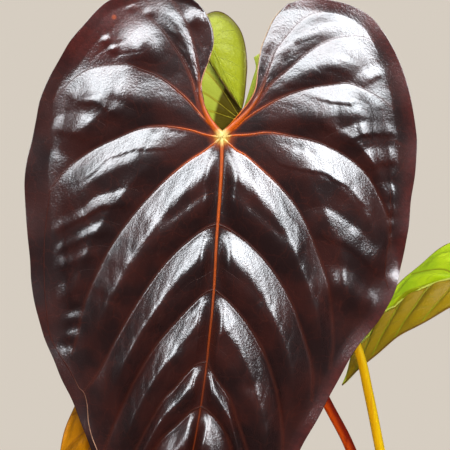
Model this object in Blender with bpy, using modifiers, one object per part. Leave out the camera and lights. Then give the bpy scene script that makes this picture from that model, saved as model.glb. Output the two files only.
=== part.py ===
"""Potted queen of hearts anthurium: a pot of bark soil with six heart-shaped leaves.

Metres, +Z up. The origin is the middle of the pot's foot, and the plant faces -Y.
Each blade is drawn flat on its own plane, from where its petiole meets it, and is then
quilted between its veins, arched and set in place.
"""

import math
import random

import bmesh
import bpy
import numpy as np
from mathutils import Vector, noise

MILLIMETRE = 0.001
WELD = 0.00002

# Pot and soil
POT_HEIGHT = 0.150
POT_RIM_RADIUS = 0.088
POT_FOOT_RADIUS = 0.064
POT_WALL = 0.0042
POT_FLOOR = 0.006
POT_BAND_HEIGHT = 0.022
POT_BAND_PROUD = 0.0035
POT_SIDES = 40
DRAIN_COUNT = 5
DRAIN_RADIUS = 0.006
DRAIN_RING = 0.036
SOIL_LEVEL = 0.130
SOIL_SIDES = 32
SOIL_RINGS = 5
SOIL_LUMP = 0.0035
CHIP_COUNT = 28
CHIP_SIZE = 0.0075
SEED = 11

# Fit between pieces that touch
GAP = 0.0003
BORE_HEIGHT = 0.08

# Crown
CROWN_FOOT_RADIUS = 0.0085
CROWN_TOP_RADIUS = 0.0045
CROWN_DEPTH = 0.018
CROWN_HEIGHT = 0.030
SHEATH_COUNT = 4
SHEATH_LENGTH = 0.040
SHEATH_WIDTH = 0.011
SHEATH_THICKNESS = 0.0009

# Petioles
PETIOLE_DEPTH = 0.020
COLLAR_HEIGHT = 0.009
PETIOLE_STEPS = 12
KNEE_LENGTH = 0.010
KNEE_BELOW = 0.0014

# Blades
BLADE_THICKNESS = 0.0007
QUILT_HEIGHT = 0.0055
QUILT_SLOPE = 0.26
MARGIN_WAVE = 0.0016
MARGIN_WAVE_LENGTH = 0.034

# Front leaf: where it hangs, how it leans, and the distance it is drawn from
FRONT_JUNCTION = Vector((-0.094, -0.075, 0.445))
FRONT_LEAN = math.radians(6)
VIEW_DISTANCE = 1.6
FRONT_ARCH = (0.24, 0.17, 1.00)

# The front leaf is drawn on a grid of half-millimetre steps, x to the right and y downwards
STEP = 0.0005
GRID_JUNCTION = (222, 137)
GRID_CENTRE = (225, 225)
MIDRIB = (
    (222, 137), (221.5, 165), (219.5, 200), (216.5, 240), (214.5, 280), (212, 312), (209, 340),
    (206.5, 365), (201, 405), (193, 450), (184, 490), (173, 540), (160, 595), (148, 642),
)
FORKS = (224, 290, 362, 407, 470, 540)
LEFT_SINUS = (
    (221, 132.5), (211.5, 121), (206.5, 111), (203.5, 102), (201.5, 94), (200.8, 86), (203, 76),
    (208, 62), (212.5, 48), (213.5, 38), (211.5, 26), (206, 13),
)
LEFT_MARGIN = (
    (199, 5), (190, -2), (178, -7), (158, -11), (138, -9.5), (122, -5), (108, 1), (97, 10), (88, 20),
    (71, 40), (59, 60), (48, 80), (40, 100), (36, 120), (32, 140), (27, 160), (24.5, 180),
    (25, 200), (27, 230), (30, 260), (31, 280), (34, 300), (39, 320), (45, 340), (54, 360),
    (62, 380), (72, 400), (81, 423), (91, 450), (100, 490), (109, 530), (119, 575), (131, 620),
    (138, 645), (146, 661),
)
LEFT_PRIMARIES = (
    (
        (209.8, 122), (204.3, 112.5), (201, 103.5), (199.5, 94), (199, 82), (197, 65), (193, 45),
        (187, 24), (178, 9), (171, 0),
    ),
    (
        (208, 122), (202, 113.5), (198.5, 105), (196.5, 96), (192, 80), (184, 62), (176, 49),
        (163, 31), (150, 18), (137, 8), (129, 4),
    ),
    (
        (206.5, 121), (199, 112.5), (190, 102), (180, 92.5), (160, 77.5), (140, 69), (125, 64.5),
        (98, 66.5), (80, 74), (60, 91), (54, 99),
    ),
    ((207, 135), (190, 130), (167, 126.5), (143, 128), (120, 137), (93, 150), (66, 170), (50, 191)),
    (
        (205, 150.5), (190, 160), (170, 176), (150, 196), (130, 219), (110, 248), (94, 280),
        (83, 308), (77, 337), (72, 353),
    ),
)
LEFT_SECONDARIES = (
    ((208, 227), (200, 232), (180, 248), (160, 270), (138, 302), (117, 338), (100, 370), (84, 391)),
    ((205, 293), (195, 302), (175, 323), (155, 347), (135, 380), (124, 403), (112, 430), (102, 456)),
    ((198, 364), (190, 370), (175, 388), (162, 402), (146, 430), (130, 462), (117, 492)),
    ((192, 411), (177, 425), (160, 441), (142, 472), (127, 505), (121, 528)),
    ((176, 482), (158, 510), (141, 545), (131, 575)),
    ((163, 556), (150, 588), (141, 618)),
)
RIGHT_SINUS = (
    (223, 132.5), (232, 122.5), (240, 113), (247.5, 104), (252, 97), (255.5, 89), (257, 80),
    (258, 70), (260.5, 52), (264, 40), (273, 20), (281, 10),
)
RIGHT_MARGIN = (
    (288, 4), (300, 0), (314, -1.5), (330, 0), (350, 5), (370, 16), (382, 30), (393, 48), (402, 68),
    (409, 90), (413, 110), (416, 130), (417, 145), (415, 175), (411, 200), (409, 225), (405, 245),
    (401, 265), (397, 285), (391, 300), (378, 322), (361, 342), (350, 358), (339, 379), (329, 397),
    (318, 418), (300, 450), (283, 490), (262, 533), (233, 580), (200, 622), (170, 649), (146, 661),
)
RIGHT_PRIMARIES = (
    (
        (233, 125), (241, 116), (249, 107.5), (255, 99), (259, 92), (264, 82), (270, 65), (275, 52),
        (282, 42), (297, 24), (310, 14.5), (320, 12),
    ),
    (
        (234, 127), (242.5, 118.5), (251, 110), (258, 101), (264, 93), (271, 84), (290, 68),
        (310, 51), (330, 40), (350, 36), (365, 37), (373, 41),
    ),
    (
        (235, 128.5), (243, 121), (251, 115), (262, 108), (285, 96), (310, 88), (330, 85), (350, 84),
        (376, 95), (393, 108),
    ),
    (
        (232, 135.5), (250, 134.5), (268, 132.5), (290, 136), (320, 143), (350, 159), (370, 179),
        (387, 215), (390, 235), (389, 252),
    ),
    (
        (236, 150), (245, 155), (260, 168), (280, 187), (300, 213), (316, 249), (328, 286),
        (332, 320), (333, 345), (330, 368),
    ),
)
RIGHT_SECONDARIES = (
    ((230, 230), (250, 245), (271, 268), (290, 300), (303, 335), (312, 370), (312, 400)),
    ((227, 300), (242, 317), (256, 338), (266, 358), (277, 393), (282, 430), (283, 460)),
    ((213, 374), (220, 385), (230, 400), (236, 418), (247, 450), (256, 485), (258, 515)),
    ((208, 411), (222, 427), (231, 447), (236, 480), (236, 525), (229, 558)),
    ((193, 484), (202, 515), (204, 550), (200, 588)),
    ((176, 556), (179, 585), (177, 617)),
)

# Green leaves: a heart drawn in shares of its half width, and of its lobe above the junction
# or its length below it
HEART_SINUS = ((0.05, 0.12), (0.40, 0.34), (0.80, 0.60), (1.0, 0.74))
HEART_SINUS_END = (0.13, 0.88)
HEART_MARGIN = (
    (0.22, 0.97), (0.42, 1.0), (0.66, 0.90), (0.86, 0.60), (0.98, 0.18), (1.0, -0.06),
    (0.94, -0.20), (0.80, -0.38), (0.58, -0.58), (0.36, -0.76), (0.16, -0.91), (0.0, -1.0),
)
HEART_PRIMARY_ENDS = ((0.38, 0.86), (0.74, 0.58), (0.89, 0.02), (0.80, -0.30))
HEART_FORKS = (0.20, 0.42, 0.66)
HEART_SECONDARY_ENDS = ((0.57, -0.52), (0.35, -0.71), (0.15, -0.87))
HEART_RIB_RISE = 0.07
HEART_SPINE_REACH = 0.97

FRONT_CELL_STEPS = 4
FRONT_ROWS = 10
GREEN_CELL_STEPS = 3
GREEN_ROWS = 5

# Colours, with roughness
POT_COLOUR = ((0.30, 0.105, 0.05, 1), 0.75)
SOIL_COLOUR = ((0.045, 0.026, 0.015, 1), 0.95)
CROWN_COLOUR = ((0.13, 0.075, 0.03, 1), 0.80)
FRONT_COLOUR = ((0.018, 0.006, 0.005, 1), 0.25)
FRONT_PETIOLE_COLOUR = ((0.42, 0.06, 0.01, 1), 0.45)
LIME_COLOUR = ((0.36, 0.50, 0.04, 1), 0.40)
OLIVE_COLOUR = ((0.30, 0.20, 0.015, 1), 0.40)
YELLOW_PETIOLE_COLOUR = ((0.62, 0.38, 0.01, 1), 0.45)


# Drawing

def smooth_line(points, count):
    """The curve through the points, as `count` points evenly spaced along it."""
    points = np.array(points, float)
    ends = np.vstack((2 * points[0] - points[1], points, 2 * points[-1] - points[-2]))
    pieces = []
    for before, start, end, after in zip(ends, ends[1:], ends[2:], ends[3:]):
        part = np.linspace(0, 1, 8, endpoint=False)[:, None]
        pull = 0.5 * (end - before)
        push = 0.5 * (after - start)
        pieces.append(
            start
            + pull * part
            + (3 * (end - start) - 2 * pull - push) * part**2
            + (2 * (start - end) + pull + push) * part**3
        )
    curve = np.vstack((*pieces, points[-1]))
    return evenly(curve, np.linspace(0, 1, count))


def evenly(curve, shares):
    """The points of a polyline at these shares of its length."""
    lengths = np.linalg.norm(np.diff(curve, axis=0), axis=1)
    along = np.concatenate(([0], np.cumsum(lengths)))
    return np.column_stack([np.interp(shares, along / along[-1], axis) for axis in curve.T])


def share_nearest(curve, point):
    """How far along an evenly spaced curve it comes nearest to a point, from 0 to 1."""
    return np.argmin(np.linalg.norm(curve - point, axis=1)) / (len(curve) - 1)


def half_blade(spine, forks, sinus, primaries, secondaries, margin, steps, rows):
    """Columns of one half of a blade, from its sinus to its apex: each runs from spine to margin.

    It also returns each point's place across its cell, along it, and the cell's width there.
    The last row is the margin, and the one before it is the vein that follows the margin.
    """
    junction = spine[0]
    outline = smooth_line(margin, 400)
    starts = [0.0] * (len(primaries) + 1) + list(forks) + [1.0]
    ribs = [smooth_line([junction, *line], rows) for line in (sinus, *primaries)]
    for share, line in zip(forks, secondaries):
        ribs.append(smooth_line([evenly(spine, [share])[0], *line], rows))
    ribs.append(np.repeat(spine[-1:], rows, axis=0))
    ends = [0.0] + [share_nearest(outline, rib[-1]) for rib in ribs[1:-1]] + [1.0]
    along = np.linspace(0, 1, rows)[:, None]
    columns, places = [], []
    for cell in range(len(ribs) - 1):
        upper, lower = ribs[cell], ribs[cell + 1]
        first_inset = upper[-1] - evenly(outline, [ends[cell]])[0]
        last_inset = lower[-1] - evenly(outline, [ends[cell + 1]])[0]
        width = np.linalg.norm(upper - lower, axis=1)
        last = cell == len(ribs) - 2
        for step in range(steps + last):
            across = step / steps
            inner = evenly(spine, [starts[cell] + across * (starts[cell + 1] - starts[cell])])
            edge = evenly(outline, [ends[cell] + across * (ends[cell + 1] - ends[cell])])
            outer = edge + (1 - across) * first_inset + across * last_inset
            column = (1 - across) * upper + across * lower
            straight_in = (1 - across) * upper[0] + across * lower[0]
            straight_out = (1 - across) * upper[-1] + across * lower[-1]
            column = column + (1 - along) * (inner - straight_in) + along * (outer - straight_out)
            columns.append(np.vstack((column, edge)))
            places.append([(across, share, size) for share, size in zip(along[:, 0], width)])
    return columns, places


def quilt(across, along, width):
    """How far a cell bulges: steeper below its upper vein, and flat at its veins."""
    crest = 1 - abs(2 * across**0.8 - 1) ** 2.2
    inner = min(1, along / 0.16)
    outer = min(1, (1 - along) / 0.10)
    return min(QUILT_HEIGHT, QUILT_SLOPE * width) * crest * inner * outer


def blade_grid(plan, steps, rows):
    """The blade's points in columns, each (x, y, height), round from one sinus edge to the other."""
    spine = smooth_line(plan["spine"], 400)
    sheets = []
    for side in plan["sides"]:
        columns, places = half_blade(spine, plan["forks"], *side, steps, rows)
        sheet = []
        travelled = 0.0
        for column, place in zip(columns, places):
            if sheet:
                travelled += math.dist(column[-1], sheet[-1][-1][:2])
            heights = [quilt(*each) for each in place]
            wave = MARGIN_WAVE * math.sin(2 * math.pi * travelled / MARGIN_WAVE_LENGTH)
            heights.append(wave)
            sheet.append(np.column_stack((column, heights)))
        sheets.append(sheet)
    return np.array(sheets[0] + sheets[1][-2::-1])


# The plans of the leaves

def drawn(points):
    """Points of the drawing in metres from the junction, x to the right and y upwards."""
    return [((x - GRID_JUNCTION[0]) * STEP, (GRID_JUNCTION[1] - y) * STEP) for x, y in points]


def front_plan():
    """The large front leaf."""
    spine = smooth_line(drawn(MIDRIB), 400)
    forks = []
    for depth in FORKS:
        level = (GRID_JUNCTION[1] - depth) * STEP
        forks.append(np.argmin(abs(spine[:, 1] - level)) / (len(spine) - 1))
    left = (
        drawn(LEFT_SINUS),
        [drawn(line) for line in LEFT_PRIMARIES],
        [drawn(line) for line in LEFT_SECONDARIES],
        drawn(LEFT_MARGIN),
    )
    right = (
        drawn(RIGHT_SINUS),
        [drawn(line) for line in RIGHT_PRIMARIES],
        [drawn(line) for line in RIGHT_SECONDARIES],
        drawn(RIGHT_MARGIN),
    )
    middle = drawn([GRID_CENTRE])[0]
    return {"spine": drawn(MIDRIB), "forks": forks, "sides": (left, right), "middle": middle}


def heart_plan(left_width, right_width, length, lobe, left_gap, right_gap, bow=0.0):
    """A smaller leaf: half widths, length below the junction, lobe above it, and sinus gaps.

    The middle of its midrib bends to the right by `bow`.
    """

    def at(side, width, share):
        across, up = share
        return (side * across * width, up * (lobe if up > 0 else length))

    def spine_point(share):
        return (bow * math.sin(math.pi * share / HEART_SPINE_REACH), -share * length)

    sides = []
    for side, width, gap in ((-1, left_width, left_gap), (1, right_width, right_gap)):
        sinus = [(side * across * gap, up * lobe) for across, up in HEART_SINUS]
        sinus.append(at(side, width, HEART_SINUS_END))
        rise = HEART_RIB_RISE * length
        primaries = []
        for end in HEART_PRIMARY_ENDS:
            x, y = at(side, width, end)
            primaries.append([(0.5 * x, 0.5 * y + rise * abs(end[0])), (x, y)])
        secondaries = []
        for fork, end in zip(HEART_FORKS, HEART_SECONDARY_ENDS):
            x, y = at(side, width, end)
            root = spine_point(fork)
            secondaries.append([(0.5 * (x + root[0]), root[1] + 0.42 * (y - root[1])), (x, y)])
        sides.append((sinus, primaries, secondaries, [at(side, width, p) for p in HEART_MARGIN]))
    spine = [spine_point(share) for share in (0, 0.25, 0.5, 0.75, HEART_SPINE_REACH)]
    forks = [share / HEART_SPINE_REACH for share in HEART_FORKS]
    return {"spine": spine, "forks": forks, "sides": sides}


# Placing

def front_axes():
    """The front leaf's own directions: right, up and out of its face."""
    up = Vector((0, math.sin(FRONT_LEAN), math.cos(FRONT_LEAN)))
    out = Vector((0, -math.cos(FRONT_LEAN), math.sin(FRONT_LEAN)))
    return up.cross(out), up, out


def seen(x, y, behind):
    """The point that shows at this place of the drawing, `behind` mm behind the front leaf."""
    right, up, out = front_axes()
    behind = behind * MILLIMETRE
    spread = 1 + behind / VIEW_DISTANCE
    middle = Vector(drawn([GRID_CENTRE])[0])
    flat = middle + (Vector(drawn([(x, y)])[0]) - middle) * spread
    return FRONT_JUNCTION + right * flat.x + up * flat.y - out * behind


def leaf_axes(down, facing):
    """Right, up and out of a face that looks along `facing`, with its tip along `down`."""
    up = -Vector(down).normalized()
    out = Vector(facing)
    out = (out - up * out.dot(up)).normalized()
    return up.cross(out), up, out


def add_object(name, mesh, collection, colour):
    made = bpy.data.objects.new(name, mesh)
    collection.objects.link(made)
    paint(made, colour)
    return made


def paint(thing, colour):
    """Gives the object its own material."""
    shade, roughness = colour
    material = bpy.data.materials.new(f"{thing.name}_finish")
    material.use_nodes = True
    shader = material.node_tree.nodes["Principled BSDF"]
    shader.inputs["Base Color"].default_value = shade
    shader.inputs["Roughness"].default_value = roughness
    thing.data.materials.clear()
    thing.data.materials.append(material)


def blade(name, plan, junction, axes, arch, steps, rows, collection, colour):
    """A quilted blade. `arch` holds the radii it bends at: across, up the lobes and down the tip.

    A plan with a middle is drawn as it shows from the view distance, so what lies further
    back is spread from that middle.
    """
    right, up, out = axes
    across_radius, lobe_radius, tip_radius = arch
    grid = blade_grid(plan, steps, rows)
    columns, lines = grid.shape[:2]
    bm = bmesh.new()
    bmesh.ops.create_grid(bm, x_segments=columns - 1, y_segments=lines - 1, size=0.5)
    for vertex in bm.verts:
        column = round((vertex.co.x + 0.5) * (columns - 1))
        line = round((vertex.co.y + 0.5) * (lines - 1))
        x, y, height = grid[column, line]
        height -= x * x / (2 * across_radius)
        height -= y * y / (2 * (lobe_radius if y > 0 else tip_radius))
        if "middle" in plan:
            middle_x, middle_y = plan["middle"]
            x -= (x - middle_x) * height / VIEW_DISTANCE
            y -= (y - middle_y) * height / VIEW_DISTANCE
        vertex.co = Vector(junction) + right * x + up * y + out * height
    bmesh.ops.remove_doubles(bm, verts=bm.verts, dist=WELD)
    bmesh.ops.dissolve_degenerate(bm, edges=bm.edges, dist=WELD)
    bmesh.ops.triangulate(bm, faces=bm.faces, quad_method="FIXED")
    if sum((face.normal * face.calc_area() for face in bm.faces), Vector()).dot(out) < 0:
        bmesh.ops.reverse_faces(bm, faces=bm.faces)
    mesh = bpy.data.meshes.new(name)
    bm.to_mesh(mesh)
    bm.free()
    mesh.shade_smooth()
    made = add_object(name, mesh, collection, colour)
    wall = made.modifiers.new("Thickness", "SOLIDIFY")
    wall.thickness = BLADE_THICKNESS
    wall.offset = -1
    return made


def petiole(name, points, junction, axes, radii, collection, colour):
    """A petiole from the soil to the back of its blade, with the thick knee that carries it."""
    _, up, out = axes
    end = Vector(junction) - up * KNEE_BELOW - out * (BLADE_THICKNESS + GAP)
    knee = end - out * KNEE_LENGTH
    foot_point, *rest = [tuple(point) for point in points]
    route = np.vstack((foot_point, smooth_line([*rest, tuple(knee)], PETIOLE_STEPS), tuple(end)))
    curve = bpy.data.curves.new(name, "CURVE")
    curve.dimensions = "3D"
    curve.bevel_depth = 1.0
    curve.bevel_resolution = 2
    curve.use_fill_caps = True
    spline = curve.splines.new("POLY")
    spline.points.add(len(route) - 1)
    foot, top, knee_radius = radii
    for number, (point, place) in enumerate(zip(spline.points, route)):
        share = number / (len(route) - 1)
        point.co = (*place, 1)
        point.radius = foot + (top - foot) * share
    spline.points[-1].radius = knee_radius
    spline.points[-2].radius = knee_radius
    return add_object(name, curve, collection, colour)


# The pot, its soil and the crown

def turned(name, profile, sides, collection, colour):
    """A profile of (radius, height) points spun round Z, from the top of its outer side down."""
    mesh = bpy.data.meshes.new(name)
    bm = bmesh.new()
    ring = [bm.verts.new((radius, 0, height)) for radius, height in profile]
    for start, end in zip(ring, ring[1:]):
        bm.edges.new((start, end))
    bm.to_mesh(mesh)
    bm.free()
    made = add_object(name, mesh, collection, colour)
    screw = made.modifiers.new("Turn", "SCREW")
    screw.steps = sides
    screw.render_steps = sides
    screw.use_merge_vertices = True
    screw.merge_threshold = 0.00005
    return made


def settle(made):
    """Applies the object's modifiers to its mesh and welds it."""
    graph = bpy.context.evaluated_depsgraph_get()
    mesh = bpy.data.meshes.new_from_object(made.evaluated_get(graph))
    bm = bmesh.new()
    bm.from_mesh(mesh)
    bmesh.ops.remove_doubles(bm, verts=bm.verts, dist=WELD)
    bm.to_mesh(mesh)
    bm.free()
    made.modifiers.clear()
    made.data = mesh


def cut(made, cutters, collection):
    """Takes the cutters out of the object."""
    group = bpy.data.collections.new(f"{made.name}_cutters")
    collection.children.link(group)
    for cutter in cutters:
        group.objects.link(cutter)
        cutter.hide_render = True
        cutter.display_type = "WIRE"
    boolean = made.modifiers.new("Holes", "BOOLEAN")
    boolean.operand_type = "COLLECTION"
    boolean.collection = group
    boolean.operation = "DIFFERENCE"
    boolean.solver = "EXACT"


def fuse(made, pieces):
    """Joins the pieces to the object, applies the join and removes them."""
    group = bpy.data.collections.new(f"{made.name}_pieces")
    bpy.context.scene.collection.children.link(group)
    for piece in pieces:
        group.objects.link(piece)
    boolean = made.modifiers.new("Join", "BOOLEAN")
    boolean.operand_type = "COLLECTION"
    boolean.collection = group
    boolean.operation = "UNION"
    boolean.solver = "MANIFOLD"
    bpy.context.view_layer.update()
    settle(made)
    for piece in pieces:
        bpy.data.objects.remove(piece)
    bpy.data.collections.remove(group)


def pot_radius(height):
    """The pot's outer radius at a height, without its band."""
    share = height / POT_HEIGHT
    return POT_FOOT_RADIUS + (POT_RIM_RADIUS - POT_BAND_PROUD - POT_FOOT_RADIUS) * share


def pot(collection, helpers):
    """A plain tapered pot with a band round its rim and drain holes in its floor."""
    band = POT_HEIGHT - POT_BAND_HEIGHT
    profile = (
        (POT_RIM_RADIUS - 0.001, POT_HEIGHT), (POT_RIM_RADIUS, POT_HEIGHT - 0.0015),
        (POT_RIM_RADIUS - 0.0005, band), (pot_radius(band) + 0.0003, band - 0.0015),
        (POT_FOOT_RADIUS + 0.0010, 0.0025), (POT_FOOT_RADIUS - 0.0010, 0), (0, 0),
    )
    inside = (
        (0, POT_FLOOR), (pot_radius(POT_FLOOR) - POT_WALL, POT_FLOOR),
        (pot_radius(band) - POT_WALL, band), (pot_radius(POT_HEIGHT) - POT_WALL, POT_HEIGHT),
    )
    made = turned("pot", (*profile, *inside, profile[0]), POT_SIDES, collection, POT_COLOUR)
    settle(made)
    drains = []
    for number in range(DRAIN_COUNT):
        turn = 2 * math.pi * number / DRAIN_COUNT
        place = (DRAIN_RING * math.cos(turn), DRAIN_RING * math.sin(turn), POT_FLOOR / 2)
        drains.append(cylinder(f"drain_{number + 1}", DRAIN_RADIUS, 4 * POT_FLOOR, place, 12))
    cut(made, drains, helpers)
    return made


def cylinder(name, radius, height, place, sides, lean=None):
    """An upright cylinder, or one that leans along a direction, with its middle at a place."""
    mesh = bpy.data.meshes.new(name)
    bm = bmesh.new()
    bmesh.ops.create_cone(
        bm, cap_ends=True, segments=sides, radius1=radius, radius2=radius, depth=height
    )
    bm.to_mesh(mesh)
    bm.free()
    made = bpy.data.objects.new(name, mesh)
    made.location = place
    if lean is not None:
        made.rotation_mode = "QUATERNION"
        made.rotation_quaternion = Vector(lean).to_track_quat("Z", "Y")
    return made


def soil(holes, collection, helpers):
    """Lumpy bark soil that fills the pot, with chips in its top and a plain hole for each stem."""
    top_radius = pot_radius(SOIL_LEVEL) - POT_WALL - 2 * GAP
    foot_radius = pot_radius(POT_FLOOR) - POT_WALL - 2 * GAP
    rings = [(top_radius * step / SOIL_RINGS, SOIL_LEVEL) for step in range(SOIL_RINGS, -1, -1)]
    profile = [(0, POT_FLOOR + GAP), (foot_radius, POT_FLOOR + GAP), *rings]
    made = turned("soil", profile[::-1], SOIL_SIDES, collection, SOIL_COLOUR)
    settle(made)
    for vertex in made.data.vertices:
        reach = math.hypot(vertex.co.x, vertex.co.y)
        if vertex.co.z > SOIL_LEVEL - 0.001 and reach < top_radius - 0.001:
            vertex.co.z += SOIL_LUMP * noise.noise(vertex.co * 70) + 0.002 * (1 - reach / top_radius)
    draw = random.Random(SEED)
    chips = []
    while len(chips) < CHIP_COUNT:
        reach = top_radius * math.sqrt(draw.random()) - CHIP_SIZE
        turn = draw.uniform(0, 2 * math.pi)
        place = Vector((reach * math.cos(turn), reach * math.sin(turn), SOIL_LEVEL + 0.0012))
        size = CHIP_SIZE * draw.uniform(0.6, 1.1)
        angles = [draw.uniform(-0.5, 0.5), draw.uniform(-0.5, 0.5), draw.uniform(0, 3)]
        if reach < 0.026 or min(math.hypot(place.x - x, place.y - y) for x, y in holes) < 0.012:
            continue
        chips.append(chip(f"chip_{len(chips) + 1}", size, place, angles))
    fuse(made, chips)
    return made


def chip(name, size, place, angles):
    """A bark chip: a flat rounded block."""
    mesh = bpy.data.meshes.new(name)
    bm = bmesh.new()
    bmesh.ops.create_cube(bm, size=1)
    for vertex in bm.verts:
        vertex.co.x *= size * (1.6 if vertex.co.z < 0 else 1.2)
        vertex.co.y *= size * (1.0 if vertex.co.z < 0 else 0.7)
        vertex.co.z *= size * 0.8
    bm.to_mesh(mesh)
    bm.free()
    made = bpy.data.objects.new(name, mesh)
    made.location = place
    made.rotation_euler = angles
    return made


def crown(collection):
    """The short stem that the petioles gather round, with papery sheaths."""
    foot = SOIL_LEVEL - CROWN_DEPTH
    top = SOIL_LEVEL + CROWN_HEIGHT
    profile = [(0, top), (CROWN_TOP_RADIUS * 0.7, top - 0.001)]
    for ring in range(5):
        share = ring / 4
        level = top - 0.003 - share * (CROWN_HEIGHT - 0.002)
        radius = CROWN_TOP_RADIUS + (CROWN_FOOT_RADIUS - CROWN_TOP_RADIUS) * share
        profile += [(radius, level), (radius - 0.0008, level - 0.0025)]
    profile += [(CROWN_FOOT_RADIUS, foot), (0, foot)]
    made = turned("crown", profile, 12, collection, CROWN_COLOUR)
    settle(made)
    sheaths = [sheath(f"sheath_{number + 1}", number) for number in range(SHEATH_COUNT)]
    fuse(made, sheaths)
    return made


def sheath(name, number):
    """One pointed sheath, standing against the crown and curling out at its tip."""
    mesh = bpy.data.meshes.new(name)
    bm = bmesh.new()
    bmesh.ops.create_grid(bm, x_segments=2, y_segments=5, size=0.5)
    turn = 2 * math.pi * (number + 0.35) / SHEATH_COUNT
    low = SOIL_LEVEL + 0.002 + 0.003 * number
    for vertex in bm.verts:
        share = vertex.co.y + 0.5
        half = 0.5 * SHEATH_WIDTH * (1 - 0.85 * share**1.5)
        reach = 0.0062 - 0.004 * share + 0.009 * share**2
        side = 2 * vertex.co.x * half
        bulge = reach - side * side / 0.016
        x = bulge * math.cos(turn) - side * math.sin(turn)
        y = bulge * math.sin(turn) + side * math.cos(turn)
        vertex.co = (x, y, low + share * SHEATH_LENGTH * (1 - 0.12 * number))
    if sum((face.normal for face in bm.faces), Vector()).dot((math.cos(turn), math.sin(turn), 0)) < 0:
        bmesh.ops.reverse_faces(bm, faces=bm.faces)
    bmesh.ops.triangulate(bm, faces=bm.faces, quad_method="FIXED")
    bm.to_mesh(mesh)
    bm.free()
    made = bpy.data.objects.new(name, mesh)
    wall = made.modifiers.new("Thickness", "SOLIDIFY")
    wall.thickness = SHEATH_THICKNESS
    wall.offset = -1
    return made


# The plant

def leaves():
    """Each leaf: its plan, junction, axes, arch, colours, route from the soil and petiole radii."""
    front = front_axes()
    young = leaf_axes(seen(241, 107, 20) - seen(213, 50, 20), (0.10, -1, 0.25))
    lime = leaf_axes((0.05, -0.10, -1), (0.0, -1, 0.15))
    side = leaf_axes((-0.874, 0.129, -0.448), (-0.457, -0.374, 0.650))
    low = leaf_axes((-0.71, -0.20, -1), (-0.69, -1, 0.59))
    back = leaf_axes((0.65, 0.25, -0.85), (0.55, -0.45, 0.8))
    return {
        "front": {
            "plan": front_plan(),
            "junction": FRONT_JUNCTION,
            "axes": front,
            "arch": FRONT_ARCH,
            "colours": (FRONT_COLOUR, FRONT_PETIOLE_COLOUR),
            "foot": (-0.009, -0.015),
            "route": [
                seen(375, 520, 75), seen(351, 450, 50), seen(326, 401, 38), seen(285, 320, 27),
                seen(248, 220, 22), seen(228, 158, 19),
            ],
            "radii": (0.0030, 0.0022, 0.0025),
        },
        "young": {
            "plan": heart_plan(0.005, 0.0184, 0.0375, 0.0142, 0.001, 0.003),
            "junction": seen(210, 43, 22),
            "axes": young,
            "arch": (0.022, 0.05, 0.30),
            "colours": (LIME_COLOUR, YELLOW_PETIOLE_COLOUR),
            "foot": (-0.017, -0.007),
            "route": [
                seen(330, 560, 60), seen(285, 450, 46), seen(225, 300, 34), seen(192, 170, 33),
                seen(186, 95, 35),
            ],
            "radii": (0.0024, 0.0016, 0.0019),
        },
        "lime": {
            "plan": heart_plan(0.058, 0.060, 0.120, 0.037, 0.001, 0.0085),
            "junction": seen(242, 121, 44),
            "axes": lime,
            "arch": (0.16, 0.20, 0.35),
            "colours": (LIME_COLOUR, YELLOW_PETIOLE_COLOUR),
            "foot": (0.006, -0.016),
            "route": [
                seen(394, 520, 84), seen(380, 450, 73), seen(369, 395, 70), seen(357, 346, 68),
                seen(325, 270, 68), seen(276, 180, 66),
            ],
            "radii": (0.0029, 0.0021, 0.0026),
        },
        "side": {
            "plan": heart_plan(0.0357, 0.0209, 0.0848, 0.0214, 0.002, 0.003, -0.0114),
            "junction": seen(458.6, 276.9, 98),
            "axes": side,
            "arch": (0.256, 0.068, 0.115),
            "colours": (LIME_COLOUR, YELLOW_PETIOLE_COLOUR),
            "foot": (0.016, 0.004),
            "route": [seen(462, 560, 108), seen(478, 450, 118), seen(483, 350, 118)],
            "radii": (0.0026, 0.0018, 0.0022),
        },
        "low": {
            "plan": heart_plan(0.0283, 0.036, 0.090, 0.026, 0.002, 0.002),
            "junction": seen(126, 388, 52),
            "axes": low,
            "arch": (0.09, 0.10, 0.16),
            "colours": (OLIVE_COLOUR, YELLOW_PETIOLE_COLOUR),
            "foot": (-0.016, 0.006),
            "route": [seen(330, 650, 106), seen(235, 540, 98), seen(166, 455, 84)],
            "radii": (0.0026, 0.0018, 0.0022),
        },
        "back": {
            "plan": heart_plan(0.050, 0.050, 0.115, 0.036, 0.002, 0.003),
            "junction": Vector((0.100, 0.062, 0.318)),
            "axes": back,
            "arch": (0.10, 0.10, 0.22),
            "colours": (LIME_COLOUR, YELLOW_PETIOLE_COLOUR),
            "foot": (0.004, 0.017),
            "route": [(0.014, 0.034, 0.19), (0.036, 0.058, 0.25), (0.068, 0.076, 0.300)],
            "radii": (0.0028, 0.0020, 0.0024),
        },
    }


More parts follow.
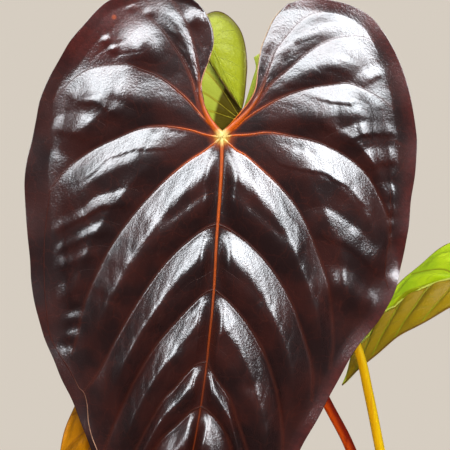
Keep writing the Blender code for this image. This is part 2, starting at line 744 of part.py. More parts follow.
def main():
    for made in list(bpy.data.objects):
        bpy.data.objects.remove(made)
    plant = bpy.data.collections.new("potted_anthurium")
    helpers = bpy.data.collections.new("cutters")
    bpy.context.scene.collection.children.link(plant)
    bpy.context.scene.collection.children.link(helpers)
    helpers.hide_render = True

    pot(plant, helpers)
    grown = leaves()
    holes = [(0.0, 0.0)] + [leaf["foot"] for leaf in grown.values()]
    ground = soil(holes, plant, helpers)
    crown(plant)
    crown_middle = (0, 0, SOIL_LEVEL - CROWN_DEPTH - GAP + BORE_HEIGHT / 2)
    bores = [cylinder("crown_bore", CROWN_FOOT_RADIUS + 2 * GAP, BORE_HEIGHT, crown_middle, 16)]
    for name, leaf in grown.items():
        large = name == "front"
        steps, rows = (FRONT_CELL_STEPS, FRONT_ROWS) if large else (GREEN_CELL_STEPS, GREEN_ROWS)
        leaf_colour, petiole_colour = leaf["colours"]
        blade(
            f"{name}_leaf", leaf["plan"], leaf["junction"], leaf["axes"], leaf["arch"], steps, rows,
            plant, leaf_colour,
        )
        x, y = leaf["foot"]
        foot = Vector((x, y, SOIL_LEVEL - PETIOLE_DEPTH))
        collar = Vector((x, y, SOIL_LEVEL + COLLAR_HEIGHT))
        petiole(
            f"{name}_petiole", [foot, collar, *leaf["route"]], leaf["junction"], leaf["axes"],
            leaf["radii"], plant, petiole_colour,
        )
        bore = leaf["radii"][0] + 2 * GAP
        middle = (x, y, SOIL_LEVEL - PETIOLE_DEPTH - GAP + BORE_HEIGHT / 2)
        bores.append(cylinder(f"{name}_bore", bore, BORE_HEIGHT, middle, 12))
    cut(ground, bores, helpers)


main()
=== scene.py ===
"""Visual model and photo scene of a potted queen of hearts anthurium.

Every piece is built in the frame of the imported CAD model, in metres, and stands for one of its
nodes or adds to it. Each blade is drawn flat on its own plane, from where its petiole meets it,
is quilted between its veins, and is then arched and set in place.
"""

import logging
import math
import random
from dataclasses import dataclass, field, replace
from enum import Enum

import bmesh
import bpy
import numpy as np
from mathutils import Matrix, Quaternion, Vector, noise
from mathutils.bvhtree import BVHTree
from mathutils.kdtree import KDTree


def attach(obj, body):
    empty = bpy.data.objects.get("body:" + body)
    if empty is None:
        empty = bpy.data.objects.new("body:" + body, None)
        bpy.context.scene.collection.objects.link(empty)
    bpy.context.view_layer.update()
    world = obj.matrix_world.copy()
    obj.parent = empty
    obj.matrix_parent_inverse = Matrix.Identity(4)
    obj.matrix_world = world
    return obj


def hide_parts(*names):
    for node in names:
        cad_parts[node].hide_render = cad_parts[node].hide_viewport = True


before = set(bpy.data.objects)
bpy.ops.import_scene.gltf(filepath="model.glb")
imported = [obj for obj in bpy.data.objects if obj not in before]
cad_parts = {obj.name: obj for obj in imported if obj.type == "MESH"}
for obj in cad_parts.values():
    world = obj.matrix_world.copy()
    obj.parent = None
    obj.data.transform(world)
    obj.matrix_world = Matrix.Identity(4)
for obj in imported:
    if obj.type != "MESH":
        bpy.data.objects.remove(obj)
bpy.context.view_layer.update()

logging.basicConfig(level=logging.INFO, format="%(message)s")
LOG = logging.getLogger("anthurium")

MM = 0.001
SEED = 23

# Where the large leaf hangs, how it leans, and the distance it is drawn from
FRONT_JUNCTION = Vector((-0.094, -0.075, 0.445))
FRONT_LEAN = math.radians(6)
VIEW_DISTANCE = 1.6

# The large leaf is drawn on a grid of half-millimetre steps, x to the right and y downwards
STEP = 0.0005
GRID_JUNCTION = (222, 137)
GRID_CENTRE = (225, 225)
MIDRIB = (
    (222, 137), (221.5, 165), (219.5, 200), (216.5, 240), (214.5, 280), (212, 312), (209, 340),
    (206.5, 365), (201, 405), (193, 450), (184, 490), (173, 540), (160, 595), (148, 642),
)
FORKS = (224, 290, 362, 407, 470, 540)
LEFT_SINUS = (
    (221, 132.5), (211.5, 121), (206.5, 111), (203.5, 102), (201.5, 94), (200.8, 86), (203, 76),
    (208, 62), (212.5, 48), (213.5, 38), (211.5, 26), (206, 13),
)
LEFT_MARGIN = (
    (199, 5), (190, -2), (178, -7), (158, -11), (138, -9.5), (122, -5), (108, 1), (97, 10),
    (88, 20), (71, 40), (59, 60), (48, 80), (40, 100), (36, 120), (32, 140), (27, 160),
    (24.5, 180), (25, 200), (27, 230), (30, 260), (31, 280), (34, 300), (39, 320), (45, 340),
    (54, 360), (62, 380), (72, 400), (81, 423), (91, 450), (100, 490), (109, 530), (119, 575),
    (131, 620), (138, 645), (146, 661),
)
LEFT_PRIMARIES = (
    (
        (209.8, 122), (204.3, 112.5), (201, 103.5), (199.5, 94), (199, 82), (197, 65), (193, 45),
        (187, 24), (178, 9), (171, 0),
    ),
    (
        (208, 122), (202, 113.5), (198.5, 105), (196.5, 96), (192, 80), (184, 62), (176, 49),
        (163, 31), (150, 18), (137, 8), (129, 4),
    ),
    (
        (206.5, 121), (199, 112.5), (190, 102), (180, 92.5), (160, 77.5), (140, 69), (125, 64.5),
        (98, 66.5), (80, 74), (60, 91), (54, 99),
    ),
    ((207, 135), (190, 130), (167, 126.5), (143, 128), (120, 137), (93, 150), (66, 170), (50, 191)),
    (
        (205, 150.5), (190, 160), (170, 176), (150, 196), (130, 219), (110, 248), (94, 280),
        (83, 308), (77, 337), (72, 353),
    ),
)
LEFT_SECONDARIES = (
    ((208, 227), (200, 232), (180, 248), (160, 270), (138, 302), (117, 338), (100, 370), (84, 391)),
    (
        (205, 293), (195, 302), (175, 323), (155, 347), (135, 380), (124, 403), (112, 430),
        (102, 456),
    ),
    ((198, 364), (190, 370), (175, 388), (162, 402), (146, 430), (130, 462), (117, 492)),
    ((192, 411), (177, 425), (160, 441), (142, 472), (127, 505), (121, 528)),
    ((176, 482), (158, 510), (141, 545), (131, 575)),
    ((163, 556), (150, 588), (141, 618)),
)
RIGHT_SINUS = (
    (223, 132.5), (232, 122.5), (240, 113), (247.5, 104), (252, 97), (255.5, 89), (257, 80),
    (258, 70), (260.5, 52), (264, 40), (273, 20), (281, 10),
)
RIGHT_MARGIN = (
    (288, 4), (300, 0), (314, -1.5), (330, 0), (350, 5), (370, 16), (382, 30), (393, 48), (402, 68),
    (409, 90), (413, 110), (416, 130), (417, 145), (415, 175), (411, 200), (409, 225), (405, 245),
    (401, 265), (397, 285), (391, 300), (378, 322), (361, 342), (350, 358), (339, 379), (329, 397),
    (318, 418), (300, 450), (283, 490), (262, 533), (233, 580), (200, 622), (170, 649), (146, 661),
)
RIGHT_PRIMARIES = (
    (
        (233, 125), (241, 116), (249, 107.5), (255, 99), (259, 92), (264, 82), (270, 65), (275, 52),
        (282, 42), (297, 24), (310, 14.5), (320, 12),
    ),
    (
        (234, 127), (242.5, 118.5), (251, 110), (258, 101), (264, 93), (271, 84), (290, 68),
        (310, 51), (330, 40), (350, 36), (365, 37), (373, 41),
    ),
    (
        (235, 128.5), (243, 121), (251, 115), (262, 108), (285, 96), (310, 88), (330, 85),
        (350, 84), (376, 95), (393, 108),
    ),
    (
        (232, 135.5), (250, 134.5), (268, 132.5), (290, 136), (320, 143), (350, 159), (370, 179),
        (387, 215), (390, 235), (389, 252),
    ),
    (
        (236, 150), (245, 155), (260, 168), (280, 187), (300, 213), (316, 249), (328, 286),
        (332, 320), (333, 345), (330, 368),
    ),
)
RIGHT_SECONDARIES = (
    ((230, 230), (250, 245), (271, 268), (290, 300), (303, 335), (312, 370), (312, 400)),
    ((227, 300), (242, 317), (256, 338), (266, 358), (277, 393), (282, 430), (283, 460)),
    ((213, 374), (220, 385), (230, 400), (236, 418), (247, 450), (256, 485), (258, 515)),
    ((208, 411), (222, 427), (231, 447), (236, 480), (236, 525), (229, 558)),
    ((193, 484), (202, 515), (204, 550), (200, 588)),
    ((176, 556), (179, 585), (177, 617)),
)

# Side veins of the large leaf: each leaves a rib or the midrib and creases the cell it crosses
SIDE_VEINS = (
    ((138, 191), (127, 188), (115, 191), (100, 195), (90, 200), (79, 210), (50, 222)),
    ((120, 225), (105, 221), (88, 227), (72, 236), (52, 246)),
    ((110, 247), (95, 246), (75, 253), (65, 256)),
    ((98, 269), (80, 271), (65, 281), (48, 292)),
    ((82, 307), (65, 313), (50, 318)),
    ((134, 110), (125, 106), (112, 98), (98, 92), (84, 92)),
    ((105, 125), (90, 116), (75, 113), (52, 117)),
    ((73, 160), (60, 153), (50, 147)),
    ((214, 193), (203, 196), (195, 201), (180, 213), (170, 219)),
    ((215, 270), (200, 278), (190, 283), (172, 299)),
    ((210, 335), (197, 338), (180, 350)),
    ((353, 84), (357, 77), (362, 71), (370, 67), (377, 64)),
    ((376, 94), (382, 89), (388, 86)),
    ((325, 138), (340, 130), (355, 124), (365, 122), (395, 124)),
    ((355, 160), (370, 149), (395, 147)),
    ((375, 185), (395, 180)),
    (
        (303, 212), (315, 208), (325, 208), (335, 212), (345, 219), (364, 234), (375, 247),
        (383, 256),
    ),
    ((324, 266), (338, 266), (348, 270), (363, 284), (375, 298)),
    ((250, 208), (262, 218), (280, 235)),
    ((222, 268), (235, 277), (247, 286), (260, 300)),
    ((210, 343), (220, 350), (230, 360), (247, 388)),
)

# Veins of the large leaf that run along its edge
EDGE_VEINS = (
    (
        (50, 191), (46, 222), (44, 250), (44.5, 285), (47, 316), (50, 335), (58, 352), (69, 369),
        (79, 388),
    ),
    ((79, 388), (84, 393), (87, 404), (88.5, 422), (92, 437), (97, 450), (104, 472), (117, 520)),
    ((390, 190), (391, 215), (390, 238), (387, 252), (385, 275), (389, 290)),
)

# Thick stems beside the notch that the upper ribs share
TRUNKS = (
    ((222, 136), (214, 126.5), (208, 117.5), (203.5, 107), (200.5, 96), (199.5, 84), (199, 72)),
    ((222, 136), (232, 126.5), (242, 117.5), (250, 109), (256.5, 100), (261.5, 91), (266, 80)),
)

# Low mounds of the large leaf, or hollows where the height is negative: column, row and radius in
# the drawing, and height in millimetres
MOUNDS = (
    (80, 20, 42, 4.5), (143, 49, 18, 4.2), (196, 19, 9, 2.0), (106, 40, 4, 1.2), (113, 49, 4, 1.3),
    (131, 8, 3, 0.5), (149, 13, 3.5, 0.6), (399, 246, 9, -2.2), (399, 258, 9, -2.6),
    (399, 270, 9, -2.2), (391, 184, 5, -0.8), (390, 203, 4, -0.7), (391, 218, 4, -0.7),
    (391, 232, 4, -0.7), (375, 258, 12, 1.9), (341, 286, 13, 1.9), (352, 294, 13, 1.5),
    (364, 302, 13, 2.2), (78, 309, 5, -1.2), (71, 311, 5, -1.2), (76, 326, 5, -1.2),
    (69, 328, 5, -1.2), (70, 345, 5, -1.0), (64, 345, 5, -1.0), (155, 133, 3.5, -0.45),
    (173, 132, 3, -0.40), (182, 133, 2.5, -0.30), (299, 148, 3.5, -0.45), (311, 153, 3.5, -0.45),
    (285, 144, 3, -0.30),
)

# How far along the cells beside the notch they reach their full height, and how high they rise
LEFT_STARTS = (0.60, 0.50, 0.75, 0.60, 0.45)
LEFT_GAINS = (0.05, 0.89, 0.10, 1.1, 1.0, 1.3, 1.4, 1.4, 1.4, 1.4, 1.4)
RIGHT_STARTS = (0.80, 0.72, 0.66, 0.58, 0.50)
RIGHT_GAINS = (0.40, 0.80, 0.92, 1.0, 1.0, 1.3, 1.4, 1.4, 1.4, 1.4, 1.4)

# Smaller leaves: a heart drawn in shares of its half width, and of its lobe above the junction
# or its length below it
HEART_SINUS = ((0.05, 0.12), (0.40, 0.34), (0.80, 0.60), (1.0, 0.74))
HEART_SINUS_END = (0.13, 0.88)
HEART_MARGIN = (
    (0.22, 0.97), (0.42, 1.0), (0.66, 0.90), (0.86, 0.60), (0.98, 0.18), (1.0, -0.06),
    (0.94, -0.20), (0.80, -0.38), (0.58, -0.58), (0.36, -0.76), (0.16, -0.91), (0.0, -1.0),
)
HEART_PRIMARY_ENDS = ((0.38, 0.86), (0.74, 0.58), (0.89, 0.02), (0.80, -0.30))
HEART_FORKS = (0.20, 0.42, 0.66)
HEART_SECONDARY_ENDS = ((0.57, -0.52), (0.35, -0.71), (0.15, -0.87))
HEART_RIB_RISE = 0.07
HEART_RIB_FALL = 0.42
HEART_SPINE_REACH = 0.97
SMALL_LEAF = 0.05
SMALL_PACE = 0.0012
SMALL_LEAF_FADE = 0.05
CROSS_VEIN_SHARE = 0.10
BACK_PALENESS = 0.8

# How many points the drawing's curves get
SPAN_POINTS = 8
CURVE_POINTS = 400
SPINE_POINTS = 120
PRIMARY_POINTS = 70
SECONDARY_POINTS = 60
SIDE_VEIN_POINTS = 40
TRUNK_POINTS = 30
MARKS = 160

# How close two points are to be joined in tubes, in open sheets and in turned shells
TUBE_WELD = 0.000002
SHEET_WELD = 0.00001
LATHE_WELD = 0.00002

# The blades' grids and surfaces: the lines of the marginal strip, the least columns of a cell, how
# much rounder a cell's crest is near its root, where its height and its creases close, how the
# creases lean, and how the cross veins, the dents, the lobes and the ribs run
STRIP_ROWS = (0.3, 0.6, 0.88, 0.97, 1.0)
LEAST_COLUMNS = 4
ROOT_BEND = 2.5
ROOT_BEND_END = 0.4
CELL_CLOSING = 0.31
CREASE_CLOSING = 0.1
CREASE_MIDDLE = 0.62
CREASE_LEAN = 0.38
CROSS_VEIN_REACH = 0.0012
CROSS_VEIN_LEAN = 0.014
CROSS_VEIN_WANDER = 0.25
CROSS_CREASE = 0.0004
DENT_SCALE = 130
LOBE_RISE_REACH = 0.038
SIDE_VEIN_TAPER = 0.4
RIB_TAPER = 1.3
RIB_PROUD = 0.1
RIB_CAST_HEIGHT = 0.05
BLADE_THICKNESS = 0.0007
FIT_GAP = 0.0003
MARGIN_WAVE = 0.0007
MARGIN_WAVE_LENGTH = 0.034

# How many faces go round the turned shells, and how many rings the soil has
STALK_SIDES = 24
POT_SIDES = 128
DRAIN_SIDES = 24
SOIL_SIDES = 160
SOIL_RINGS = 46
CROWN_SIDES = 40
CORNER_ANGLE = math.radians(50)

# The petioles and what they stand in
SOIL_LEVEL = 0.130
PETIOLE_DEPTH = 0.020
COLLAR_HEIGHT = 0.009
KNEE_LENGTH = 0.010
KNEE_BELOW = 0.0014
KNEE_SWELL = 1.35
KNEE_SWELL_REACH = 1.4
FOOT_SWELL = 0.10
FOOT_SWELL_REACH = 0.012
STALK_POINTS = 90
STEM_CLEARANCE = 0.0045
SHEATH_THICKNESS = 0.0004
STEM_DENT = 0.0005
STEM_DENT_SCALE = 300

# The bark soil's lumps, each with its scale in bumps to the metre and its height
LUMPS = ((70, 0.0035), (260, 0.0012), (620, 0.0006))
SOIL_RISE = 0.002
SOIL_EDGE = 0.004
BARK_SIZES = (0.0028, 0.0080)
PUMICE_SIZES = (0.0011, 0.0022)
CHUNK_DENT = 0.55
CHUNK_DENT_SCALE = 1.3
CHUNK_BOXING = 0.55
CHUNK_FLATNESS = (0.32, 0.6)
CHUNK_SLIMNESS = (0.5, 0.9)
CHUNK_LEAN = (-0.5, 0.5)
CHUNK_LIFT = 0.12
FINE_CHUNK = 0.0045

# The studio
FLOOR_RADIUS = 0.55
SENSOR_WIDTH = 36.0
GLOSS_LIGHT = (0.90, 0.95, 1.0)
SOFT_LIGHT = (1.0, 0.98, 0.95)
LIGHTS = (
    ("key", (0.10, -1.00, 1.40), (1.2, 1.0), 20.0, False),
    ("front", (0.10, -1.62, 0.23), (0.2, 0.2), 22.0, False),
    ("gloss_top", (0.10, -0.56, 1.23), (2.2, 0.80), 84.0, True, -0.2),
    ("gloss_left", (-1.03, -0.75, 0.80), (0.78, 0.80), 31.0, True),
    ("gloss_right", (1.03, -0.75, 0.80), (0.78, 0.80), 31.0, True),
)

Colour = tuple[float, float, float]
Point = tuple[float, float]
Axes = tuple[Vector, Vector, Vector]


class Half(Enum):
    """The two halves of a blade, with the sign of their side of the midrib."""

    LEFT = -1
    RIGHT = 1


# Drawing


def smooth_line(points: list, count: int) -> np.ndarray:
    """The curve through some points.

    Args:
        points: The points it passes through, in two or three dimensions.
        count: How many points the curve gets.

    Returns:
        The curve's points, evenly spaced along it.
    """
    knots = np.array([tuple(point) for point in points], float)
    ends = np.vstack((2 * knots[0] - knots[1], knots, 2 * knots[-1] - knots[-2]))
    pieces = []
    for before, start, end, after in zip(ends, ends[1:], ends[2:], ends[3:]):
        part = np.linspace(0, 1, SPAN_POINTS, endpoint=False)[:, None]
        pull = 0.5 * (end - before)
        push = 0.5 * (after - start)
        pieces.append(
            start
            + pull * part
            + (3 * (end - start) - 2 * pull - push) * part**2
            + (2 * (start - end) + pull + push) * part**3
        )
    return evenly(np.vstack((*pieces, knots[-1])), np.linspace(0, 1, count))


def evenly(curve: np.ndarray, shares: np.ndarray) -> np.ndarray:
    """Points of a polyline at shares of its length.

    Args:
        curve: The polyline's points.
        shares: The shares, from 0 to 1.

    Returns:
        One point for each share.
    """
    lengths = np.linalg.norm(np.diff(curve, axis=0), axis=1)
    along = np.concatenate(([0], np.cumsum(lengths)))
    return np.column_stack([np.interp(shares, along / along[-1], axis) for axis in curve.T])


def eased(share: np.ndarray) -> np.ndarray:
    """Shares from 0 to 1 that start and end gently."""
    return share * share * (3 - 2 * share)


def mixed(first: object, second: object, share: float | np.ndarray) -> object:
    """Two values or arrays mixed, with a share of the second."""
    return (1 - share) * first + share * second


def share_nearest(curve: np.ndarray, point: np.ndarray) -> float:
    """How far along an evenly spaced curve it comes nearest to a point, from 0 to 1."""
    return float(np.argmin(np.linalg.norm(curve - point, axis=1)) / (len(curve) - 1))


def drawn(points: tuple) -> list[Point]:
    """Points of the large leaf's drawing in metres from its junction, y upwards."""
    return [((x - GRID_JUNCTION[0]) * STEP, (GRID_JUNCTION[1] - y) * STEP) for x, y in points]


def drawn_lines(lines: tuple) -> list[list[Point]]:
    """Several lines of the large leaf's drawing."""
    return [drawn(line) for line in lines]


def front_axes() -> Axes:
    """The large leaf's own directions: right, up and out of its face."""
    up = Vector((0, math.sin(FRONT_LEAN), math.cos(FRONT_LEAN)))
    out = Vector((0, -math.cos(FRONT_LEAN), math.sin(FRONT_LEAN)))
    return up.cross(out), up, out


def seen(x: float, y: float, behind: float) -> Vector:
    """The point that shows at a place of the drawing.

    Args:
        x: The place's column.
        y: The place's row.
        behind: How far it lies behind the large leaf's plane, in millimetres.

    Returns:
        The point in the frame, in metres.
    """
    right, up, out = front_axes()
    depth = behind * MM
    middle = Vector(drawn((GRID_CENTRE,))[0])
    flat = middle + (Vector(drawn(((x, y),))[0]) - middle) * (1 + depth / VIEW_DISTANCE)
    return FRONT_JUNCTION + right * flat.x + up * flat.y - out * depth


def leaf_axes(down: Vector | tuple, facing: tuple) -> Axes:
    """Right, up and out of a face that looks along `facing`, with its tip along `down`."""
    up = -Vector(down).normalized()
    out = Vector(facing)
    out = (out - up * out.dot(up)).normalized()
    return up.cross(out), up, out


@dataclass
class Side:
    """One half of a blade's drawing.

    Attributes:
        sinus: The edge of the notch above the junction.
        primaries: Ribs that leave the junction.
        secondaries: Ribs that leave the midrib.
        margin: The outer edge from the notch to the tip.
        starts: How far along its first cells they reach their full height, from the notch on.
        gains: How high its cells rise for their width, from the notch on.
    """

    sinus: list[Point]
    primaries: list[list[Point]]
    secondaries: list[list[Point]]
    margin: list[Point]
    starts: tuple[float, ...] = ()
    gains: tuple[float, ...] = ()


@dataclass
class Plan:
    """A blade's flat drawing, in metres from its junction.

    Attributes:
        spine: The midrib.
        forks: Where the secondaries leave it, as shares of its length.
        sides: The left half and the right half.
        side_veins: Veins that crease the cells between the ribs.
        middle: The point it is spread from as it shows from the view distance, or None.
        trunks: Thick stems beside the notch that several ribs share.
        mounds: Low mounds, each with its middle, radius and height.
        edge_veins: Veins along the margin.
    """

    spine: list[Point]
    forks: list[float]
    sides: tuple[Side, Side]
    side_veins: list[list[Point]] = field(default_factory=list)
    middle: Point | None = None
    trunks: list[list[Point]] = field(default_factory=list)
    mounds: list[tuple[Point, float, float]] = field(default_factory=list)
    edge_veins: list[list[Point]] = field(default_factory=list)


def front_plan() -> Plan:
    """The drawing of the large leaf."""
    spine = smooth_line(drawn(MIDRIB), CURVE_POINTS)
    forks = []
    for depth in FORKS:
        level = (GRID_JUNCTION[1] - depth) * STEP
        forks.append(float(np.argmin(abs(spine[:, 1] - level)) / (len(spine) - 1)))
    left = Side(
        drawn(LEFT_SINUS), drawn_lines(LEFT_PRIMARIES), drawn_lines(LEFT_SECONDARIES),
        drawn(LEFT_MARGIN), LEFT_STARTS, LEFT_GAINS,
    )
    right = Side(
        drawn(RIGHT_SINUS), drawn_lines(RIGHT_PRIMARIES), drawn_lines(RIGHT_SECONDARIES),
        drawn(RIGHT_MARGIN), RIGHT_STARTS, RIGHT_GAINS,
    )
    mounds = [(drawn(((x, y),))[0], wide * STEP, high * MM) for x, y, wide, high in MOUNDS]
    return Plan(
        drawn(MIDRIB), forks, (left, right), drawn_lines(SIDE_VEINS), drawn((GRID_CENTRE,))[0],
        drawn_lines(TRUNKS), mounds, drawn_lines(EDGE_VEINS),
    )


@dataclass(frozen=True)
class Heart:
    """The measures of a smaller leaf.

    Attributes:
        left: Width of its left half.
        right: Width of its right half.
        length: Its length below the junction.
        lobe: The height of its lobes above the junction.
        left_gap: Width of the notch on its left.
        right_gap: Width of the notch on its right.
        bow: How far the middle of its midrib bends to the right.
    """

    left: float
    right: float
    length: float
    lobe: float
    left_gap: float
    right_gap: float
    bow: float = 0.0

    def place(self, half: Half, width: float, share: Point) -> Point:
        """A point of the drawing from its shares of the width and of the lobe or length."""
        across, up = share
        return (half.value * across * width, up * (self.lobe if up > 0 else self.length))

    def side(self, half: Half) -> Side:
        """One half of the drawing."""
        width, gap = (
            (self.left, self.left_gap) if half is Half.LEFT else (self.right, self.right_gap)
        )
        sinus = [(half.value * across * gap, up * self.lobe) for across, up in HEART_SINUS]
        sinus.append(self.place(half, width, HEART_SINUS_END))
        rise = HEART_RIB_RISE * self.length
        primaries = []
        for end in HEART_PRIMARY_ENDS:
            x, y = self.place(half, width, end)
            primaries.append([(0.5 * x, 0.5 * y + rise * abs(end[0])), (x, y)])
        secondaries = []
        for fork, end in zip(HEART_FORKS, HEART_SECONDARY_ENDS):
            x, y = self.place(half, width, end)
            root = self.spine_point(fork)
            bend = (0.5 * (x + root[0]), root[1] + HEART_RIB_FALL * (y - root[1]))
            secondaries.append([bend, (x, y)])
        margin = [self.place(half, width, share) for share in HEART_MARGIN]
        return Side(sinus, primaries, secondaries, margin)

    def spine_point(self, share: float) -> Point:
        """The midrib's point at a share of the length."""
        return (self.bow * math.sin(math.pi * share / HEART_SPINE_REACH), -share * self.length)

    def plan(self) -> Plan:
        """The whole drawing."""
        spine = [self.spine_point(share) for share in (0, 0.25, 0.5, 0.75, HEART_SPINE_REACH)]
        forks = [share / HEART_SPINE_REACH for share in HEART_FORKS]
        return Plan(spine, forks, (self.side(Half.LEFT), self.side(Half.RIGHT)))


# Mesh helpers


def baked(bm: bmesh.types.BMesh, name: str) -> bpy.types.Mesh:
    """A new mesh of what a BMesh holds, which is freed."""
    mesh = bpy.data.meshes.new(name)
    bm.to_mesh(mesh)
    bm.free()
    return mesh


def put(name: str, data: bpy.types.ID) -> bpy.types.Object:
    """A new object in the scene."""
    made = bpy.data.objects.new(name, data)
    bpy.context.scene.collection.objects.link(made)
    return made


def thicken(piece: bpy.types.Object, thickness: float) -> bpy.types.Modifier:
    """Gives an open sheet a thickness behind its face."""
    wall = piece.modifiers.new("Thickness", "SOLIDIFY")
    wall.thickness = thickness
    wall.offset = -1
    return wall


def mapped_grid(name: str, points: np.ndarray, layers: dict[str, np.ndarray]) -> bpy.types.Mesh:
    """A grid laid over a surface.

    Args:
        name: The mesh's name.
        points: The surface's points, by column, line and coordinate.
        layers: Values to keep at the points, by layer name, each by column and line.

    Returns:
        The mesh, with a float attribute for each layer.
    """
    columns, lines = points.shape[:2]
    bm = bmesh.new()
    bmesh.ops.create_grid(bm, x_segments=columns - 1, y_segments=lines - 1, size=0.5)
    mesh = baked(bm, name)
    flat = np.empty(3 * len(mesh.vertices))
    mesh.vertices.foreach_get("co", flat)
    flat = flat.reshape(-1, 3)
    column = np.rint((flat[:, 0] + 0.5) * (columns - 1)).astype(int)
    line = np.rint((flat[:, 1] + 0.5) * (lines - 1)).astype(int)
    mesh.vertices.foreach_set("co", points[column, line].ravel())
    for layer, values in layers.items():
        attribute = mesh.attributes.new(layer, "FLOAT", "POINT")
        attribute.data.foreach_set("value", values[column, line].astype(float))
    mesh.update()
    return mesh


def welded(mesh: bpy.types.Mesh, reach: float, outwards: Vector | None = None) -> bpy.types.Mesh:
    """Joins a mesh's doubles and turns its faces the right way.

    Args:
        mesh: The mesh, which is changed.
        reach: How close two points are to be joined.
        outwards: The side an open sheet faces, or None for a closed shell.

    Returns:
        The same mesh.
    """
    bm = bmesh.new()
    bm.from_mesh(mesh)
    bmesh.ops.remove_doubles(bm, verts=bm.verts, dist=reach)
    bmesh.ops.dissolve_degenerate(bm, edges=bm.edges, dist=reach)
    if outwards is None:
        bmesh.ops.recalc_face_normals(bm, faces=bm.faces)
    elif sum((face.normal * face.calc_area() for face in bm.faces), Vector()).dot(outwards) < 0:
        bmesh.ops.reverse_faces(bm, faces=bm.faces)
    bm.to_mesh(mesh)
    bm.free()
    mesh.shade_smooth()
    return mesh


def add_piece(
    name: str,
    mesh: bpy.types.Mesh | bpy.types.Curve,
    finishes: list[bpy.types.Material],
    stands_for: str | None = None,
) -> bpy.types.Object:
    """Puts a piece in the scene and says what it belongs to.

    Args:
        name: The piece's name.
        mesh: Its mesh or curve.
        finishes: Its materials.
        stands_for: The CAD node it replaces, or None.

    Returns:
        The new object.
    """
    piece = put(name, mesh)
    for finish in finishes:
        mesh.materials.append(finish)
    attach(piece, "root")
    if stands_for is not None:
        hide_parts(stands_for)
    LOG.info("%s: %s", name, stands_for or "detail")
    return piece


def tube_mesh(name: str, route: np.ndarray, radii: np.ndarray, sides: int) -> bpy.types.Mesh:
    """A closed round tube along a route.

    Args:
        name: The mesh's name.
        route: The points of its middle line.
        radii: Its radius at each of them.
        sides: How many faces go round it.

    Returns:
        The mesh, with its share along the route and its side, -1 to 1, as attributes.
    """
    route = np.vstack((route[:1], route, route[-1:]))
    radii = np.concatenate(([0.0], radii, [0.0]))
    steps = np.gradient(route[1:-1], axis=0)
    steps = np.vstack((steps[:1], steps, steps[-1:]))
    steps /= np.linalg.norm(steps, axis=1)[:, None]
    across = np.cross(steps, (0.0, 1.0, 0.0))
    across /= np.linalg.norm(across, axis=1)[:, None]
    forward = np.cross(across, steps)
    turns = np.linspace(0, 2 * math.pi, sides + 1)
    points = (
        route[None]
        + np.cos(turns)[:, None, None] * (across * radii[:, None])[None]
        + np.sin(turns)[:, None, None] * (forward * radii[:, None])[None]
    )
    along = np.broadcast_to(np.linspace(0, 1, len(route)), points.shape[:2])
    beside = np.broadcast_to(np.cos(turns)[:, None], points.shape[:2])
    mesh = mapped_grid(name, points, {"along": along, "beside": beside})
    return welded(mesh, TUBE_WELD)


def lathe_mesh(name: str, profile: np.ndarray, sides: int) -> bpy.types.Mesh:
    """A profile of (radius, height) points turned round the Z axis into a closed shell."""
    turns = np.linspace(0, 2 * math.pi, sides + 1)
    points = np.stack(
        (
            np.cos(turns)[:, None] * profile[:, 0],
            np.sin(turns)[:, None] * profile[:, 0],
            np.broadcast_to(profile[:, 1], (sides + 1, len(profile))),
        ),
        axis=2,
    )
    return welded(mapped_grid(name, points, {}), LATHE_WELD)


# Finishes


